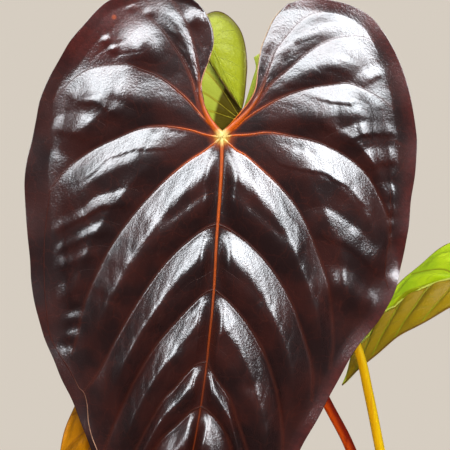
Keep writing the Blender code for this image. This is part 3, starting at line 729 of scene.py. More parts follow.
class Shades:
    """Lays out one material's nodes."""

    def __init__(self, name: str) -> None:
        """Starts a material with a Principled shader."""
        self.material = bpy.data.materials.new(name)
        self.material.use_nodes = True
        self.tree = self.material.node_tree
        self.shader = self.tree.nodes["Principled BSDF"]
        self.place = self.made("ShaderNodeTexCoord", "Object")

    def made(
        self, kind: str, output: str, inputs: dict | None = None, **settings: object
    ) -> bpy.types.NodeSocket:
        """Makes a node.

        Args:
            kind: Its type.
            output: The output that is wanted.
            inputs: What its inputs get, by name or number.
            settings: Its settings.

        Returns:
            That output.
        """
        node = self.tree.nodes.new(kind)
        for key, value in settings.items():
            setattr(node, key, value)
        for key, value in (inputs or {}).items():
            self.link(value, node.inputs[key])
        return node.outputs[output]

    def link(self, source: object, socket: bpy.types.NodeSocket) -> None:
        """Links an output to a socket, or sets the socket to a plain value."""
        if isinstance(source, bpy.types.NodeSocket):
            self.tree.links.new(source, socket)
        else:
            socket.default_value = (*source, 1) if socket.type == "RGBA" else source

    def layer(self, name: str) -> object:
        """A value kept on the piece's points."""
        return self.made("ShaderNodeAttribute", "Fac", attribute_name=name)

    def noise(self, scale: float, detail: float = 2, stretch: tuple = (1, 1, 1)) -> object:
        """Smooth noise over the piece, with its scale in bumps to the metre."""
        inputs = {"Scale": scale, "Detail": detail, "Vector": self.stretched(stretch)}
        return self.made("ShaderNodeTexNoise", "Fac", inputs)

    def cells(self, scale: float, edges: bool = False, place: object = None) -> object:
        """Cell pattern: the distance to the cells' middles, or to their edges."""
        inputs = {"Scale": scale, "Vector": self.place if place is None else place}
        feature = "DISTANCE_TO_EDGE" if edges else "F1"
        return self.made("ShaderNodeTexVoronoi", "Distance", inputs, feature=feature)

    def network(self, scale: float, wander: float) -> object:
        """Distance to the lines of a wandering net, with its scale in meshes to the metre."""
        shift = self.made(
            "ShaderNodeTexNoise", "Color", {"Scale": 1.5 * scale, "Vector": self.place}
        )
        shift = self.vector("SCALE", {0: shift, "Scale": wander})
        return self.cells(scale, True, self.vector("ADD", {0: self.place, 1: shift}))

    def stretched(self, stretch: tuple) -> object:
        """The place on the piece, scaled along each axis."""
        if stretch == (1, 1, 1):
            return self.place
        return self.made("ShaderNodeMapping", "Vector", {"Scale": stretch, "Vector": self.place})

    def reach(self, middle: Vector) -> object:
        """Distance from a point of the frame, in metres."""
        return self.vector("DISTANCE", {0: self.place, 1: middle}, "Value")

    def span(self, value: object, low: float, high: float, to: tuple = (0, 1)) -> object:
        """A value carried smoothly from one span to another, and held at its ends."""
        inputs = {"Value": value, "From Min": low, "From Max": high}
        inputs |= {"To Min": to[0], "To Max": to[1]}
        return self.made("ShaderNodeMapRange", "Result", inputs, interpolation_type="SMOOTHSTEP")

    def blend(self, share: object, first: object, second: object) -> object:
        """A mix of two colours, each a colour or another node's output."""
        inputs = {"Factor": share, "A": first, "B": second}
        return self.made("ShaderNodeMix", "Result", inputs, data_type="RGBA")

    def vector(self, operation: str, inputs: dict, output: str = "Vector") -> object:
        """One operation on vectors."""
        return self.made("ShaderNodeVectorMath", output, inputs, operation=operation)

    def maths(self, operation: str, first: object, second: object) -> object:
        """One sum, product or other operation on two values."""
        return self.made("ShaderNodeMath", "Value", {0: first, 1: second}, operation=operation)

    def times(self, first: object, second: object) -> object:
        """The product of two values."""
        return self.maths("MULTIPLY", first, second)

    def layered(self, colour: object, *layers: tuple[object, Colour]) -> object:
        """A colour with others laid over it, each with its share."""
        for share, other in layers:
            colour = self.blend(share, colour, other)
        return colour

    def finish(
        self, colour: object, roughness: object, *heights: tuple[object, float], **values: float
    ) -> bpy.types.Material:
        """Sets the shader up.

        Args:
            colour: The base colour.
            roughness: The roughness.
            heights: What raises the surface, each with its depth in metres.
            values: Other sockets' values, named with _ for a space.

        Returns:
            The material.
        """
        sockets = {"Base Color": colour, "Roughness": roughness}
        for key, value in values.items():
            sockets[key.replace("_", " ")] = value
        total = 0.0
        for height, depth in heights:
            total = self.maths("ADD", total, self.times(height, depth))
        if heights:
            inputs = {"Distance": 1.0, "Height": total}
            sockets["Normal"] = self.made("ShaderNodeBump", "Normal", inputs)
        for key, value in sockets.items():
            self.link(value, self.shader.inputs[key])
        return self.material


@dataclass(frozen=True)
class DarkLeafFinish:
    """The large leaf's glossy upper side.

    Attributes:
        deep: The colour between the veins.
        warm: The redder colour that mottles it.
        edge: The colour of its margin.
        vein: The colour beside the ribs.
        glow: The colour round the junction.
        heart: The colour at the junction.
        blushed: The middle of the redder part of the left lobe.
        scarred: The middle of a small blemish there.
    """

    deep: Colour = (0.015, 0.0048, 0.0045)
    warm: Colour = (0.033, 0.0070, 0.0052)
    edge: Colour = (0.085, 0.013, 0.011)
    vein: Colour = (0.16, 0.022, 0.006)
    glow: Colour = (0.34, 0.055, 0.004)
    heart: Colour = (0.60, 0.36, 0.06)
    blushed: Vector = field(default_factory=lambda: seen(95, 22, 8))
    scarred: Vector = field(default_factory=lambda: seen(114, 17, 7))

    def make(self) -> bpy.types.Material:
        """Lays out the material."""
        shades = Shades("dark_leaf_face")
        junction = shades.reach(FRONT_JUNCTION)
        flecks = shades.span(shades.noise(480, 5), 0.35, 0.65, (0.45, 0.85))
        blush = shades.span(shades.reach(self.blushed), 0.010, 0.040, (0.8, 0))
        rim = shades.span(shades.layer("edge"), 0.3, 8.0, (1, 0))
        rim = shades.times(rim, shades.span(shades.layer("half"), -1, 1, (0.05, 0.8)))
        beside = shades.span(shades.layer("rib"), 0.4, 1.6, (0.75, 0))
        beside = shades.times(beside, shades.span(junction, 0.008, 0.060, (1, 0.15)))
        net = shades.span(shades.network(95, 0.006), 0.0, 0.03, (0.10, 0))
        colour = shades.layered(
            self.deep,
            (shades.span(shades.noise(55, 4), 0.38, 0.66), self.warm),
            (shades.times(blush, flecks), self.edge),
            (shades.times(rim, flecks), self.edge),
            (beside, self.vein),
            (shades.span(junction, 0.0015, 0.0085, (0.85, 0)), self.glow),
            (shades.span(junction, 0.0010, 0.0050, (1, 0)), self.heart),
            (shades.span(shades.reach(self.scarred), 0.0003, 0.0018, (0.75, 0)), self.glow),
            (net, self.vein),
        )
        grain = shades.noise(1900, 4)
        return shades.finish(
            colour, shades.span(grain, 0.35, 0.75, (0.14, 0.26)), (grain, 0.00012),
            (shades.noise(330, 1), 0.00005), (shades.cells(900), 0.00008), (net, 0.00008),
            Specular_IOR_Level=0.74, Coat_Weight=0.36, Coat_Roughness=0.42,
        )


@dataclass(frozen=True)
class BladeBackFinish:
    """A blade's duller underside.

    Attributes:
        name: The material's name.
        flesh: The colour between the veins.
        vein: The colour beside the ribs.
    """

    name: str
    flesh: Colour
    vein: Colour

    def make(self) -> bpy.types.Material:
        """Lays out the material."""
        shades = Shades(self.name)
        paler = tuple(1.35 * part for part in self.flesh)
        colour = shades.layered(
            self.flesh,
            (shades.span(shades.noise(70, 4), 0.35, 0.7), paler),
            (shades.span(shades.layer("rib"), 0.3, 1.5, (0.9, 0)), self.vein),
            (shades.span(shades.layer("crease"), 0.0, 0.6, (0.5, 0)), self.vein),
        )
        return shades.finish(
            colour, 0.52, (shades.noise(600, 3), 0.00012), (shades.cells(420, True), 0.0004)
        )


@dataclass(frozen=True)
class GreenLeafFinish:
    """A smaller leaf's upper side.

    Attributes:
        name: The material's name.
        flesh: The colour of its sunlit half.
        deep: The colour that mottles it.
        painted_shade_half: The colour of its other half, painted darker as shade.
        vein: The colour of its veins.
        edge: The colour of the thin line round it.
        midrib: The colour of its midrib, or None for that of its veins.
        gloss: How strongly it reflects.
        strip: The colour of a broad strip along its margin, painted darker as shade, or None.
        shadow_middle: The middle of a painted shadow on its left half, or None.
        painted_shadow: The colour of that painted shadow.
        shadow_reach: How far the painted shadow reaches.
    """

    name: str
    flesh: Colour
    deep: Colour
    painted_shade_half: Colour
    vein: Colour
    edge: Colour
    midrib: Colour | None = None
    gloss: float = 0.12
    strip: Colour | None = None
    shadow_middle: Vector | None = None
    painted_shadow: Colour = (0.06, 0.028, 0.002)
    shadow_reach: float = 0.0

    def make(self) -> bpy.types.Material:
        """Lays out the material."""
        shades = Shades(self.name)
        half, edge = shades.layer("half"), shades.layer("edge")
        layers = [
            (shades.span(shades.noise(90, 5), 0.35, 0.7), self.deep),
            # Painted shade: the other half is turned darker than the sunlit half.
            (shades.span(half, -0.25, 0.35), self.painted_shade_half),
            (shades.span(shades.layer("crease"), 0.0, 0.7, (0.45, 0)), self.vein),
            (shades.span(shades.layer("rib"), 0.2, 1.0, (0.9, 0)), self.vein),
        ]
        # Painted shade: a darker strip along the margin.
        if self.strip:
            layers.append((shades.span(edge, 1.0, 4.5, (0.9, 0)), self.strip))
        # Painted shadow: a dark patch on the left half, out to a reach from its middle.
        if self.shadow_middle:
            far = self.shadow_reach
            near = shades.span(shades.reach(self.shadow_middle), far - 0.002, far, (0.9, 0))
            left = shades.span(half, -0.5, 0.2, (1, 0))
            layers.append((shades.times(near, left), self.painted_shadow))
        layers.append((shades.span(edge, 0.25, 0.75, (0.9, 0)), self.edge))
        return shades.finish(
            shades.layered(self.flesh, *layers), 0.48, (shades.noise(700, 3), 0.00010),
            (shades.cells(500, True), 0.0002), Specular_IOR_Level=self.gloss,
        )


@dataclass(frozen=True)
class RibFinish:
    """Raised ribs, whose colour fades away from the junction.

    Attributes:
        name: The material's name.
        middle: The junction.
        heart: The colour at the junction.
        near: The colour close to it.
        far: The colour at their ends.
        fade: How far from the junction the last colour is reached, in metres.
        gloss: How strongly it reflects.
    """

    name: str
    middle: Vector
    heart: Colour
    near: Colour
    far: Colour
    fade: float
    gloss: float = 0.15

    def make(self) -> bpy.types.Material:
        """Lays out the material."""
        shades = Shades(self.name)
        reach = shades.reach(self.middle)
        colour = shades.layered(
            self.near,
            (shades.span(reach, 0.1 * self.fade, self.fade), self.far),
            (shades.span(reach, 0.0015, 0.0060, (1, 0)), self.heart),
            (shades.span(shades.noise(320, 3), 0.45, 0.8, (0, 0.4)), self.far),
        )
        return shades.finish(
            colour, 0.42, (shades.noise(900, 2), 0.00008), Specular_IOR_Level=self.gloss
        )


@dataclass(frozen=True)
class PetioleFinish:
    """A petiole: a colour for each long side as painted light and shade, streaks and pale pores.

    Attributes:
        name: The material's name.
        bright: The colour of its right side, one side of its painted light and shade.
        shaded: The colour of its left side, the other side of its painted light and shade.
        streak: The colour of its streaks.
        foot: The colour where it leaves the soil.
    """

    name: str
    bright: Colour
    shaded: Colour
    streak: Colour
    foot: Colour

    def make(self) -> bpy.types.Material:
        """Lays out the material."""
        shades = Shades(self.name)
        side = shades.maths("ADD", shades.layer("beside"), shades.noise(120, 2, (1, 1, 0.15)))
        height = shades.made("ShaderNodeSeparateXYZ", "Z", {0: shades.place})
        soil = SOIL_LEVEL
        pore = tuple(min(1, 1.5 * part) for part in self.bright)
        colour = shades.layered(
            # Painted light and shade: one colour for each long side.
            self.shaded,
            (shades.span(side, -0.1, 1.0), self.bright),
            (shades.span(shades.noise(420, 4, (1, 1, 0.06)), 0.52, 0.72, (0, 0.75)), self.streak),
            (shades.span(shades.cells(950), 0.0, 0.22, (0.35, 0)), pore),
            (shades.span(height, soil, soil + 0.05, (0.85, 0)), self.foot),
        )
        return shades.finish(
            colour, 0.38, (shades.noise(500, 3, (1, 1, 0.08)), 0.00025), Specular_IOR_Level=0.10
        )


@dataclass(frozen=True)
class ClayFinish:
    """Fired clay with a bloom of mineral salts.

    Attributes:
        clay: Its colour.
        dark: The colour of its darker patches.
        bloom: The colour of the salts.
    """

    clay: Colour = (0.36, 0.125, 0.060)
    dark: Colour = (0.23, 0.075, 0.038)
    bloom: Colour = (0.55, 0.36, 0.26)

    def make(self) -> bpy.types.Material:
        """Lays out the material."""
        shades = Shades("fired_clay")
        colour = shades.layered(
            self.clay,
            (shades.span(shades.noise(28, 5), 0.35, 0.7), self.dark),
            (shades.span(shades.noise(16, 8, (1, 1, 0.6)), 0.55, 0.78, (0, 0.55)), self.bloom),
            (shades.span(shades.noise(900, 2), 0.62, 0.70, (0, 0.5)), self.dark),
        )
        rings = shades.noise(30, 3, (0.02, 0.02, 12))
        return shades.finish(colour, 0.86, (shades.noise(750, 4), 0.00030), (rings, 0.00035))


@dataclass(frozen=True)
class EarthFinish:
    """Soil, bark and other dry or damp crumbs.

    Attributes:
        name: The material's name.
        dark: The colour in its hollows.
        light: The colour of its grains.
        grain: The size of its grain, in bumps to the metre.
        stretch: How the grain is drawn out along each axis.
    """

    name: str
    dark: Colour
    light: Colour
    grain: float
    stretch: tuple = (1, 1, 1)

    def make(self) -> bpy.types.Material:
        """Lays out the material."""
        shades = Shades(self.name)
        fine = shades.noise(self.grain, 6, self.stretch)
        broad = shades.noise(0.2 * self.grain, 3)
        colour = shades.layered(
            self.dark,
            (shades.span(fine, 0.38, 0.68), self.light),
            (shades.span(broad, 0.4, 0.75, (0, 0.6)), self.dark),
        )
        return shades.finish(
            colour, 0.9, (fine, 0.0009), (broad, 0.0008), Specular_IOR_Level=0.15
        )


# Leaves


@dataclass(frozen=True)
class Relief:
    """How a blade's surface rises between its veins.

    Attributes:
        reach: How far from a rib the surface goes on rising.
        slope: How steeply it rises there.
        pillow: How deep the side veins lie in it.
        pillow_reach: How far from a side vein it dips.
        cross: How deep the fine cross veins lie in it.
        cross_pace: How far apart the cross veins are.
        crumple: Height of its small irregular dents.
        start: How far along a cell its full height begins.
        crest: How rounded the top of that slope is.
        upturn: How far the margin turns up, as shares of the blade's arch across and upwards.
        funnel: How far the right lobe rises away from the junction.
        unrolled: The radius the left lobe is bent back by, or 0 for none.
    """

    reach: float = 0.012
    slope: float = 0.36
    pillow: float = 0.0
    pillow_reach: float = 0.003
    cross: float = 0.0005
    cross_pace: float = 0.011
    crumple: float = 0.0005
    start: float = 0.14
    crest: float = 0.18
    upturn: tuple[float, float] = (0.5, 0.5)
    funnel: float = 0.0
    unrolled: float = 0.0


@dataclass
class Blade:
    """A leaf blade with its ribs.

    Attributes:
        name: The leaf's name, such as front.
        plan: Its flat drawing.
        junction: Where its petiole meets it.
        axes: Its right, up and out directions.
        arch: The radii it bends at: across, up its lobes and down its tip.
        relief: How its surface rises.
        slot: A name for its finish; not used.
        face: The finish of its upper side.
        back: The finish of its underside.
        ribs: The finish of its ribs.
        midrib_finish: The finish of its midrib, or None for that of the ribs.
        rim_finish: The finish of the raised rim of its notch, or None for no rim.
        edge_vein_finish: The finish of its edge veins, or None for that of the ribs.
        edge_vein_radii: The edge veins' radius at their upper and lower ends.
        pace: The width of a column of its grid.
        rows: How many points a column has from the spine to the vein along the margin.
        rib_radii: The ribs' radius at the junction and at their ends.
        fine_ribs: How many ribs beside the notch on each side are half as thick.
        midrib_radii: The midrib's radius at the junction and at its end.
        trunk_radii: The same for the stems beside the notch.
        rim_radii: The same for the rim of the notch.
        side_vein_radius: The side veins' radius, or 0 for none.
    """

    name: str
    plan: Plan
    junction: Vector
    axes: Axes
    arch: tuple[float, float, float]
    relief: Relief
    slot: str
    face: bpy.types.Material
    back: bpy.types.Material
    ribs: bpy.types.Material
    midrib_finish: bpy.types.Material | None = None
    rim_finish: bpy.types.Material | None = None
    edge_vein_finish: bpy.types.Material | None = None
    edge_vein_radii: tuple[float, float] = (0.00018, 0.00022)
    pace: float = 0.0020
    rows: int = 44
    rib_radii: tuple[float, float] = (0.0004, 0.00018)
    fine_ribs: int = 0
    midrib_radii: tuple[float, float] = (0.0007, 0.0003)
    trunk_radii: tuple[float, float] = (0.0020, 0.0004)
    rim_radii: tuple[float, float] = (0.0004, 0.0002)
    side_vein_radius: float = 0.0

    def half_columns(self, spine: np.ndarray, side: Side) -> tuple[np.ndarray, np.ndarray]:
        """Columns of one half, from its sinus to its apex, each from the spine to the margin.

        Args:
            spine: The midrib's points.
            side: The half's drawing.

        Returns:
            The columns' points, and for each its place across its cell, along it, the cell's
            width there, its share of the way from the marginal vein to the margin, how far
            along the cell it reaches its full height, and how high it rises beside the others.
        """
        rows, more = self.rows, len(STRIP_ROWS)
        outline = smooth_line(side.margin, CURVE_POINTS)
        starts = [0.0] * (len(side.primaries) + 1) + list(self.plan.forks) + [1.0]
        ribs = [smooth_line([spine[0], *line], rows) for line in (side.sinus, *side.primaries)]
        for share, line in zip(self.plan.forks, side.secondaries):
            ribs.append(smooth_line([evenly(spine, [share])[0], *line], rows))
        ribs.append(np.repeat(spine[-1:], rows, axis=0))
        ends = [0.0] + [share_nearest(outline, rib[-1]) for rib in ribs[1:-1]] + [1.0]
        insets = [rib[-1] - evenly(outline, [end])[0] for rib, end in zip(ribs, ends)]
        along = np.linspace(0, 1, rows)[:, None]
        strip = np.array(STRIP_ROWS)[:, None]
        inside = np.concatenate((along[:, 0], np.ones(more)))
        outside = np.concatenate((np.zeros(rows), STRIP_ROWS))
        columns, places = [], []
        for cell, (upper, lower) in enumerate(zip(ribs, ribs[1:])):
            width = np.linalg.norm(upper - lower, axis=1)
            widths = np.pad(width, (0, more), "edge")
            start = side.starts[cell] if cell < len(side.starts) else self.relief.start
            gain = side.gains[cell] if cell < len(side.gains) else 1.0
            steps = max(LEAST_COLUMNS, round(float(width.max()) / self.pace))
            for step in range(steps + (cell == len(ribs) - 2)):
                across = step / steps
                inner = evenly(spine, [mixed(*starts[cell : cell + 2], across)])
                edge = evenly(outline, [mixed(*ends[cell : cell + 2], across)])
                outer = edge + mixed(*insets[cell : cell + 2], across)
                column = mixed(upper, lower, across)
                column = column + mixed(inner - column[0], outer - column[-1], along)
                columns.append(np.vstack((column, mixed(column[-1], edge, strip))))
                place = np.broadcast_arrays(across, inside, widths, outside, start, gain)
                places.append(np.stack(place, axis=1))
        return np.array(columns), np.array(places)

    def sheet(self) -> tuple[np.ndarray, np.ndarray, np.ndarray]:
        """The flat blade in columns round from one sinus edge to the other.

        Returns:
            The points, their places in their cells, and the side of the midrib they lie on.
        """
        spine = smooth_line(self.plan.spine, CURVE_POINTS)
        left, left_places = self.half_columns(spine, self.plan.sides[0])
        right, right_places = self.half_columns(spine, self.plan.sides[1])
        points = np.concatenate((left, right[-2::-1]))
        places = np.concatenate((left_places, right_places[-2::-1]))
        side = np.concatenate((-np.ones(len(left)), np.ones(len(right) - 1)))
        side[len(left) - 1] = 0
        return points, places, side

    def rib_lines(self) -> list[np.ndarray]:
        """The middle lines of the ribs on the flat blade, each from its root."""
        spine = smooth_line(self.plan.spine, CURVE_POINTS)
        lines = []
        for side in self.plan.sides:
            for line in side.primaries:
                lines.append(smooth_line([spine[0], *line], PRIMARY_POINTS))
            for share, line in zip(self.plan.forks, side.secondaries):
                root = evenly(spine, [share])[0]
                lines.append(smooth_line([root, *line], SECONDARY_POINTS))
        return lines

    def nearest(self, lines: list[np.ndarray], points: np.ndarray) -> tuple:
        """Distance from each point to the nearest of some lines.

        Args:
            lines: The lines' points.
            points: The points, by column, line and coordinate.

        Returns:
            The distances, by column and line, and how far each point lies below that line, from
            -1, straight above it, to 1.
        """
        marks = np.vstack([evenly(line, np.linspace(0, 1, MARKS)) for line in lines])
        tree = KDTree(len(marks))
        for number, (x, y) in enumerate(marks):
            tree.insert((x, y, 0), number)
        tree.balance()
        flat = points.reshape(-1, 2)
        found = [tree.find((x, y, 0)) for x, y in flat]
        far = np.array([distance for _, _, distance in found])
        below = (np.array([place.y for place, _, _ in found]) - flat[:, 1]) / (far + 0.01 * MM)
        return far.reshape(points.shape[:2]), below.reshape(points.shape[:2])

    def heights(
        self, points: np.ndarray, places: np.ndarray, creases: np.ndarray, cross: np.ndarray
    ) -> np.ndarray:
        """How far the surface rises from the flat blade.

        Args:
            points: The flat blade's points.
            places: Their places in their cells.
            creases: How far each is from the nearest side vein.
            cross: How far each is from the nearest cross vein.

        Returns:
            The rise at each point.
        """
        relief = self.relief
        across, along, width, strip, start, gain = np.moveaxis(places, 2, 0)
        middle = 0.5 * width + 0.1 * MM
        reach = np.minimum(middle, relief.reach)
        near = np.clip(1 - (1 - np.abs(2 * across - 1)) * middle / reach, 0, 1)
        bend = relief.crest / gain**2 * (1 + ROOT_BEND * np.clip(1 - along / ROOT_BEND_END, 0, 1))
        foot = np.hypot(1, bend)
        crest = (foot - np.hypot(near, bend)) / (foot - bend)
        grown = np.minimum(1, along / start)
        ends = eased(grown) * eased(np.minimum(1, (1 - along) / CELL_CLOSING))
        domed = 4 * across * (1 - across)
        inside = domed * ends
        creased = domed * grown * np.minimum(1, (1 - along) / CREASE_CLOSING)
        rise = relief.slope * gain * reach * crest * ends
        rise -= relief.pillow * np.exp(-creases / relief.pillow_reach) * creased
        rise -= relief.cross * np.exp(-cross / CROSS_VEIN_REACH) * inside
        shift = Vector((3.1, 0.7, len(self.name)))
        flat = points.reshape(-1, 2)
        dents = [noise.noise(Vector((x, y, 0.0)) * DENT_SCALE + shift) for x, y in flat]
        rise += relief.crumple * np.array(dents).reshape(rise.shape) * inside
        for middle, radius, height in self.plan.mounds:
            rise += height * np.exp(-np.sum((points - middle) ** 2, axis=2) / radius**2)
        steps = np.linalg.norm(np.diff(points[:, -1], axis=0), axis=1)
        travelled = np.concatenate(([0], np.cumsum(steps)))
        wave = MARGIN_WAVE * np.sin(2 * math.pi * travelled / MARGIN_WAVE_LENGTH)
        rise += strip * wave[:, None] + self.upturn(points)
        return rise + self.funnel(points)

    def upturn(self, points: np.ndarray) -> np.ndarray:
        """How far the strip outside the marginal vein turns up, against the blade's arch."""
        strip = points[:, self.rows - 1 :] - points[:, self.rows - 1, None]
        shares = np.array(self.relief.upturn) / np.array(self.arch[:2])
        turned = np.zeros(points.shape[:2])
        turned[:, self.rows - 1 :] = np.clip(
            np.sum(strip * points[:, self.rows - 1, None] * shares, axis=2), 0, None
        )
        return turned

    def funnel(self, points: np.ndarray) -> np.ndarray:
        """How far the lobes rise away from the junction, beside the blade's arch."""
        above = np.clip(points[..., 1], 0, None)
        risen = self.relief.funnel * eased(np.clip(above / LOBE_RISE_REACH, 0, 1))
        if not self.relief.unrolled:
            return risen
        return np.where(points[..., 0] < 0, above**2 / (2 * self.relief.unrolled), risen)

    def cross_veins(self, points: np.ndarray, places: np.ndarray) -> np.ndarray:
        """Distance from each point to the nearest fine cross vein of its cell."""
        across, along = places[..., 0], places[..., 1]
        steps = np.linalg.norm(np.diff(points, axis=1), axis=2)
        length = np.concatenate((np.zeros((len(points), 1)), np.cumsum(steps, axis=1)), axis=1)
        wander = CROSS_VEIN_WANDER * np.sin(9 * across + 5 * along)
        phase = (length - CROSS_VEIN_LEAN * across) / self.relief.cross_pace + wander
        return np.abs(phase - np.rint(phase)) * self.relief.cross_pace

    def bent(self, flat: np.ndarray, heights: np.ndarray) -> np.ndarray:
        """Points of the flat blade where the arched blade has them, in its own directions."""
        across_radius, lobe_radius, tip_radius = self.arch
        x, y = flat[..., 0], flat[..., 1]
        z = heights - x * x / (2 * across_radius)
        z = z - y * y / (2 * np.where(y > 0, lobe_radius, tip_radius))
        if self.plan.middle is not None:
            middle_x, middle_y = self.plan.middle
            x = x - (x - middle_x) * z / VIEW_DISTANCE
            y = y - (y - middle_y) * z / VIEW_DISTANCE
        return np.stack((x, y, z), axis=-1)

    def placed(self, local: np.ndarray) -> np.ndarray:
        """Points in the blade's own directions, carried to the frame."""
        right, up, out = (np.array(axis) for axis in self.axes)
        x, y, z = (local[..., number, None] for number in range(3))
        return np.array(self.junction) + x * right + y * up + z * out

    def build(self) -> None:
        """Makes the blade and its ribs."""
        points, places, side = self.sheet()
        ribs = self.rib_lines()
        spine = smooth_line(self.plan.spine, SPINE_POINTS)
        rib_distance = self.nearest([*ribs, spine], points)[0]
        side_veins = [smooth_line(line, SIDE_VEIN_POINTS) for line in self.plan.side_veins]
        cross = self.cross_veins(points, places)
        if side_veins:
            creases, below = self.nearest(side_veins, points)
        else:
            creases, below = cross, 0 * cross
        leaned = creases * (CREASE_MIDDLE + CREASE_LEAN * below)
        heights = self.heights(points, places, leaned, cross)
        edge = np.linalg.norm(points - points[:, -1:], axis=2)
        half = np.repeat(side[:, None], points.shape[1], axis=1)
        half[:, 0] = 0
        layers = {
            "rib": rib_distance / MM,
            "crease": np.minimum(creases, cross + CROSS_CREASE) / MM,
            "edge": edge / MM,
            "half": half,
        }
        name = f"{self.name}_blade"
        mesh = mapped_grid(name, self.placed(self.bent(points, heights)), layers)
        welded(mesh, SHEET_WELD, self.axes[2])
        blade = add_piece(name, mesh, [self.face, self.back], f"{self.name}_leaf")
        thicken(blade, BLADE_THICKNESS).material_offset = 1
        self.build_ribs(points, heights, spine, ribs, side_veins)

    def build_ribs(
        self,
        points: np.ndarray,
        heights: np.ndarray,
        midrib: np.ndarray,
        ribs: list[np.ndarray],
        side_veins: list[np.ndarray],
    ) -> None:
        """Lays the midrib, the ribs and the side veins on the blade.

        Args:
            points: The flat blade's points.
            heights: How far each rises.
            midrib: The midrib's line.
            ribs: The lines of the other ribs.
            side_veins: The lines of the side veins.
        """
        mesh = mapped_grid("ground", np.concatenate((points, heights[..., None]), axis=2), {})
        bm = bmesh.new()
        bm.from_mesh(mesh)
        ground = BVHTree.FromBMesh(bm)
        bm.free()
        bpy.data.meshes.remove(mesh)
        fine, main = [], []
        for number, line in enumerate(ribs):
            if number % (len(ribs) // 2) < self.fine_ribs:
                fine.append(line[len(line) // 3 :])
            else:
                main.append(line)
        thick, thin = self.rib_radii
        tapered = (self.side_vein_radius, SIDE_VEIN_TAPER * self.side_vein_radius)
        trunks = [smooth_line(line, TRUNK_POINTS) for line in self.plan.trunks]
        sets = [
            (main, (thick, thin)), (fine, (0.5 * thick, 0.5 * thin)), (trunks, self.trunk_radii),
            (side_veins if self.side_vein_radius else [], tapered),
        ]
        groups = {
            "midrib": (self.midrib_finish, [([midrib], self.midrib_radii)]),
            "ribs": (self.ribs, sets),
        }
        if self.rim_finish:
            rims = [smooth_line([(0, 0), *side.sinus], PRIMARY_POINTS) for side in self.plan.sides]
            groups["rim"] = (self.rim_finish, [(rims, self.rim_radii)])
        if self.plan.edge_veins:
            edges = [smooth_line(line, SECONDARY_POINTS) for line in self.plan.edge_veins]
            groups["edge_veins"] = (self.edge_vein_finish, [(edges, self.edge_vein_radii)])
        for kind, (finish, sets) in groups.items():
            curve = bpy.data.curves.new(f"{self.name}_{kind}", "CURVE")
            curve.dimensions = "3D"
            curve.bevel_depth = 1.0
            curve.bevel_resolution = 2
            curve.use_fill_caps = True
            for lines, (thick, thin) in sets:
                for line in lines:
                    self.add_rib(curve, ground, line, thick, thin)
            add_piece(f"{self.name}_{kind}", curve, [finish or self.ribs])

    def add_rib(
        self, curve: bpy.types.Curve, ground: BVHTree, line: np.ndarray, thick: float, thin: float
    ) -> None:
        """Adds one tapered rib that follows the blade's surface."""
        radii = thin + (thick - thin) * (1 - np.linspace(0, 1, len(line))) ** RIB_TAPER
        rise = []
        for x, y in line:
            hit = ground.ray_cast((x, y, RIB_CAST_HEIGHT), (0, 0, -1))[0]
            rise.append(hit.z if hit is not None else (rise[-1] if rise else 0.0))
        route = self.placed(self.bent(line, np.array(rise) + RIB_PROUD * radii))
        spline = curve.splines.new("POLY")
        spline.points.add(len(route) - 1)
        for point, place, radius in zip(spline.points, route, radii):
            point.co = (*place, 1)
            point.radius = radius


@dataclass
class Petiole:
    """A leaf's petiole, from the soil to the knee that carries its blade.

    Attributes:
        name: The leaf's name.
        junction: Where it meets the blade.
        axes: The blade's right, up and out directions.
        foot: Where it stands in the soil.
        route: Points it passes through.
        radii: Its radius at the foot, below the knee and at the knee.
        slot: A name for its finish; not used.
        finish: Its material.
    """

    name: str
    junction: Vector
    axes: Axes
    foot: Point
    route: list
    radii: tuple[float, float, float]
    slot: str
    finish: bpy.types.Material

    def build(self) -> None:
        """Makes the petiole."""
        _, up, out = self.axes
        end = self.junction - up * KNEE_BELOW - out * (BLADE_THICKNESS + FIT_GAP)
        knee = end - out * KNEE_LENGTH
        x, y = self.foot
        bottom = Vector((x, y, SOIL_LEVEL - PETIOLE_DEPTH))
        collar = Vector((x, y, SOIL_LEVEL + COLLAR_HEIGHT))
        upper = smooth_line([collar, *self.route, knee], STALK_POINTS)
        lower = np.linspace(tuple(bottom), tuple(collar), 6)[:-1]
        last = np.linspace(tuple(knee), tuple(end), 7)[1:]
        line = np.vstack((lower, upper, last))
        share = np.linspace(0, 1, len(line))
        foot, top, swollen = self.radii
        radii = foot + (top - foot) * share
        from_end = np.linalg.norm(line - np.array(end), axis=1)
        near = np.clip(KNEE_SWELL - from_end / (KNEE_SWELL_REACH * KNEE_LENGTH), 0, 1)
        above = (line[:, 2] - SOIL_LEVEL) / FOOT_SWELL_REACH
        radii += (swollen - top) * near + FOOT_SWELL * foot * np.exp(-(above**2))
        mesh = tube_mesh(f"{self.name}_stalk", line, radii, STALK_SIDES)
        add_piece(f"{self.name}_stalk", mesh, [self.finish], f"{self.name}_petiole")


@dataclass
class Leaf:
    """One leaf: its blade on its petiole."""

    blade: Blade
    petiole: Petiole

    def build(self) -> None:
        """Makes both."""
        self.blade.build()
        self.petiole.build()


# Pot, soil and crown


